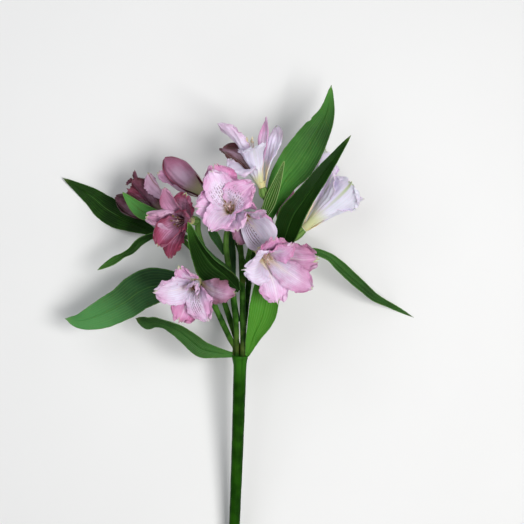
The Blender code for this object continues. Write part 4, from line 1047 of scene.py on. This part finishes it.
def leafFinish(name, dark, bright, blue, vein, tipColour, rough, rib):
    material, shader, wire = newFinish(name)
    across, along, (brightnessAndPaintedLight, blueTintAndSheen, tipped, paleVeins) = patternOf(wire)
    off = abs(across * 2.0 - 1.0)
    patches = wire.noise(70.0, 4.0) - 0.5
    fine = wire.noise(600.0, 3.0) - 0.5
    pale = wire.mix(paleVeins, vein, leafForm["paleVein"])
    bands = across.lines(9.0, 0.5, patches * 0.8) - 0.5
    # Dark to bright green by the first tone, which is partly the leaf's own tone and partly painted light,
    # shade and highlights
    colour = wire.mix(brightnessAndPaintedLight + patches * 0.60 + fine * 0.10 + bands * 0.10, dark, bright)
    # A blue mix that is partly the leaf's tint and partly a painted sheen
    bluishTintAndSheen = wire.mix(brightnessAndPaintedLight + patches * 0.6, [0.25 * c for c in blue], blue)
    colour = wire.mix(blueTintAndSheen * 0.8, colour, bluishTintAndSheen)
    bend = patches * 0.25
    veins = across.lines(15.0 - paleVeins * 10.0, 0.17, bend)
    threads = across.lines(75.0, 0.25, bend * 3.0)
    shown = veins * (0.16 + 0.70 * paleVeins) + threads * 0.12
    colour = wire.mix(shown * (0.3 + 0.7 * brightnessAndPaintedLight.ramp(-0.1, 0.4)), colour, pale)
    midrib = off.ramp(0.055, 0.01) * along.ramp(1.0, 0.75)
    colour = wire.mix(midrib * rib, colour, vein)
    colour = wire.mix(off.ramp(0.93, 0.995) * 0.35, colour, vein)
    colour = wire.mix(tipped * along.ramp(0.93, 1.0), colour, tipColour)
    colour = wire.mix(tipped * off.ramp(0.90, 1.0) * patches.ramp(0.05, 0.25), colour, tipColour)
    colour.into(shader, "Base Color")
    (rough + 0.18 * wire.noise(300.0) + veins * 0.06).into(shader, "Roughness")
    relief(wire, shader, veins * 0.5 + threads * 0.35 + wire.noise(2400.0) * 0.35, 0.40, 0.14)
    settle(shader, Specular_IOR_Level=0.07, Subsurface_Weight=0.10, Subsurface_Scale=0.0012)
    return material


def layLeaf(leaf, seed, capsules):
    form = leafForm
    line = spline([(*station, 0)[:5] for station in leaf["stations"]], form["rings"])
    heading = unit(np.gradient(line[:, :3], axis=0))
    side = unit(np.cross(heading, (0.0, 0.0, 1.0)))
    face = np.cross(side, heading)
    lean = np.radians(line[:, 4:5])
    wide = side * np.cos(lean) + face * np.sin(lean)
    high = face * np.cos(lean) - side * np.sin(lean)
    table = np.concatenate([line[:, :4], wide, high], axis=1)
    edges = leaf.get("edges", (0, 0))

    def lay(across, along):
        u = 2.0 * across - 1.0
        read = pick(along, table)
        centre, half, wideAt, highAt = read[:, :3], read[:, 3], read[:, 4:7], read[:, 7:10]
        half = np.maximum(half * smooth(1.0, 0.96, along) ** 0.5, form["finePoint"])
        body = smooth(0.0, 0.2, along) * smooth(1.0, 0.8, along)
        margin, hand = np.abs(u), np.sign(u)
        roll = np.where(u > 0, edges[1], edges[0]) * smooth(0.1, 0.35, along) * smooth(1.0, 0.75, along)
        far, lift = walkAcross(u, 2.0 * np.radians(leaf["curl"]), roll, 0.5)
        if "bite" in leaf:
            at, which, deep = leaf["bite"]
            bite = np.exp(-((along - at) / form["biteLength"]) ** 2) * (hand == which)
            half = half * (1.0 - deep * form["biteDepth"] * bite * margin ** 2)
        far = far * half * (1.0 + 0.015 * sway(along * 40 + hand * 7, seed) * margin ** 3)
        lift = lift * half
        lift += leaf["wave"] * margin ** 2 * body * sway(along * 13.0 + hand * 2.5, seed)
        lift += 0.35 * leaf["wave"] * margin ** 4 * body * sway(along * 41.0 + hand, seed + 2)
        broad = np.minimum(1.0, half / form["fullWidth"])
        lift -= form["ribDepth"] * np.exp(-(u / 0.07) ** 2) * body * broad
        flutes = np.cos(math.tau * form["flutes"] * across)
        lift += form["fluteDepth"] * flutes * body * broad
        placed = centre + wideAt * far[:, None] + highAt * lift[:, None]
        placed = pushClear(placed, capsules, form["clearance"])
        lowest = form["thickness"] / 2 + form["lowestAtRest" if leaf.get("rests") else "lowest"]
        placed[:, 2] = np.maximum(placed[:, 2], lowest)
        tone = np.tile(np.array((0.0, *leaf["tone"][1:])), (len(u), 1))
        # The first tone along the leaf and the split across it: partly the leaf's own tone, partly painted
        # light, shade and highlights
        bright = leaf["tone"][0]
        tone[:, 0] = np.interp(along, np.linspace(0.0, 1.0, len(bright)), bright) + leaf.get("split", 0.0) * u
        return placed, tone

    return lay


def buildLeaf(name, capsules):
    leaf = leaves[name]
    words = name.split("_")
    title = words[0] + "".join(w.capitalize() for w in words[1:])
    lay = layLeaf(leaf, len(name) * 1.9, capsules)
    sheet = laidGrid(title, leafForm["cellsAcross"], leafForm["cellsAlong"], lay)
    thicken(sheet, leafForm["thickness"], finishes["leafTop"], finishes["leafUnder"])
    declare(joined(title, [sheet], 60), name)


# All of it

buildStudio()
print("studio ready")

finishes = {name: greenFinish(name, *values) for name, values in greens.items()}
finishes.update({name: petalFinish(name, **values) for name, values in petalFinishes.items()})
finishes.update({name: leafFinish(name, **values) for name, values in leafFinishes.items()})
finishes["stamenSkin"] = stamenFinish()
print("finishes ready")

capsules = stalkCapsules()
buildStem()
for name in rays:
    buildRay(name)
print("stem and stalks ready")

for name in leaves:
    buildLeaf(name, capsules)
print("leaves ready")

for letter in tepals:
    buildBloom(letter, capsules)
for letter in stamens:
    buildStamens(letter)
print("blooms ready")
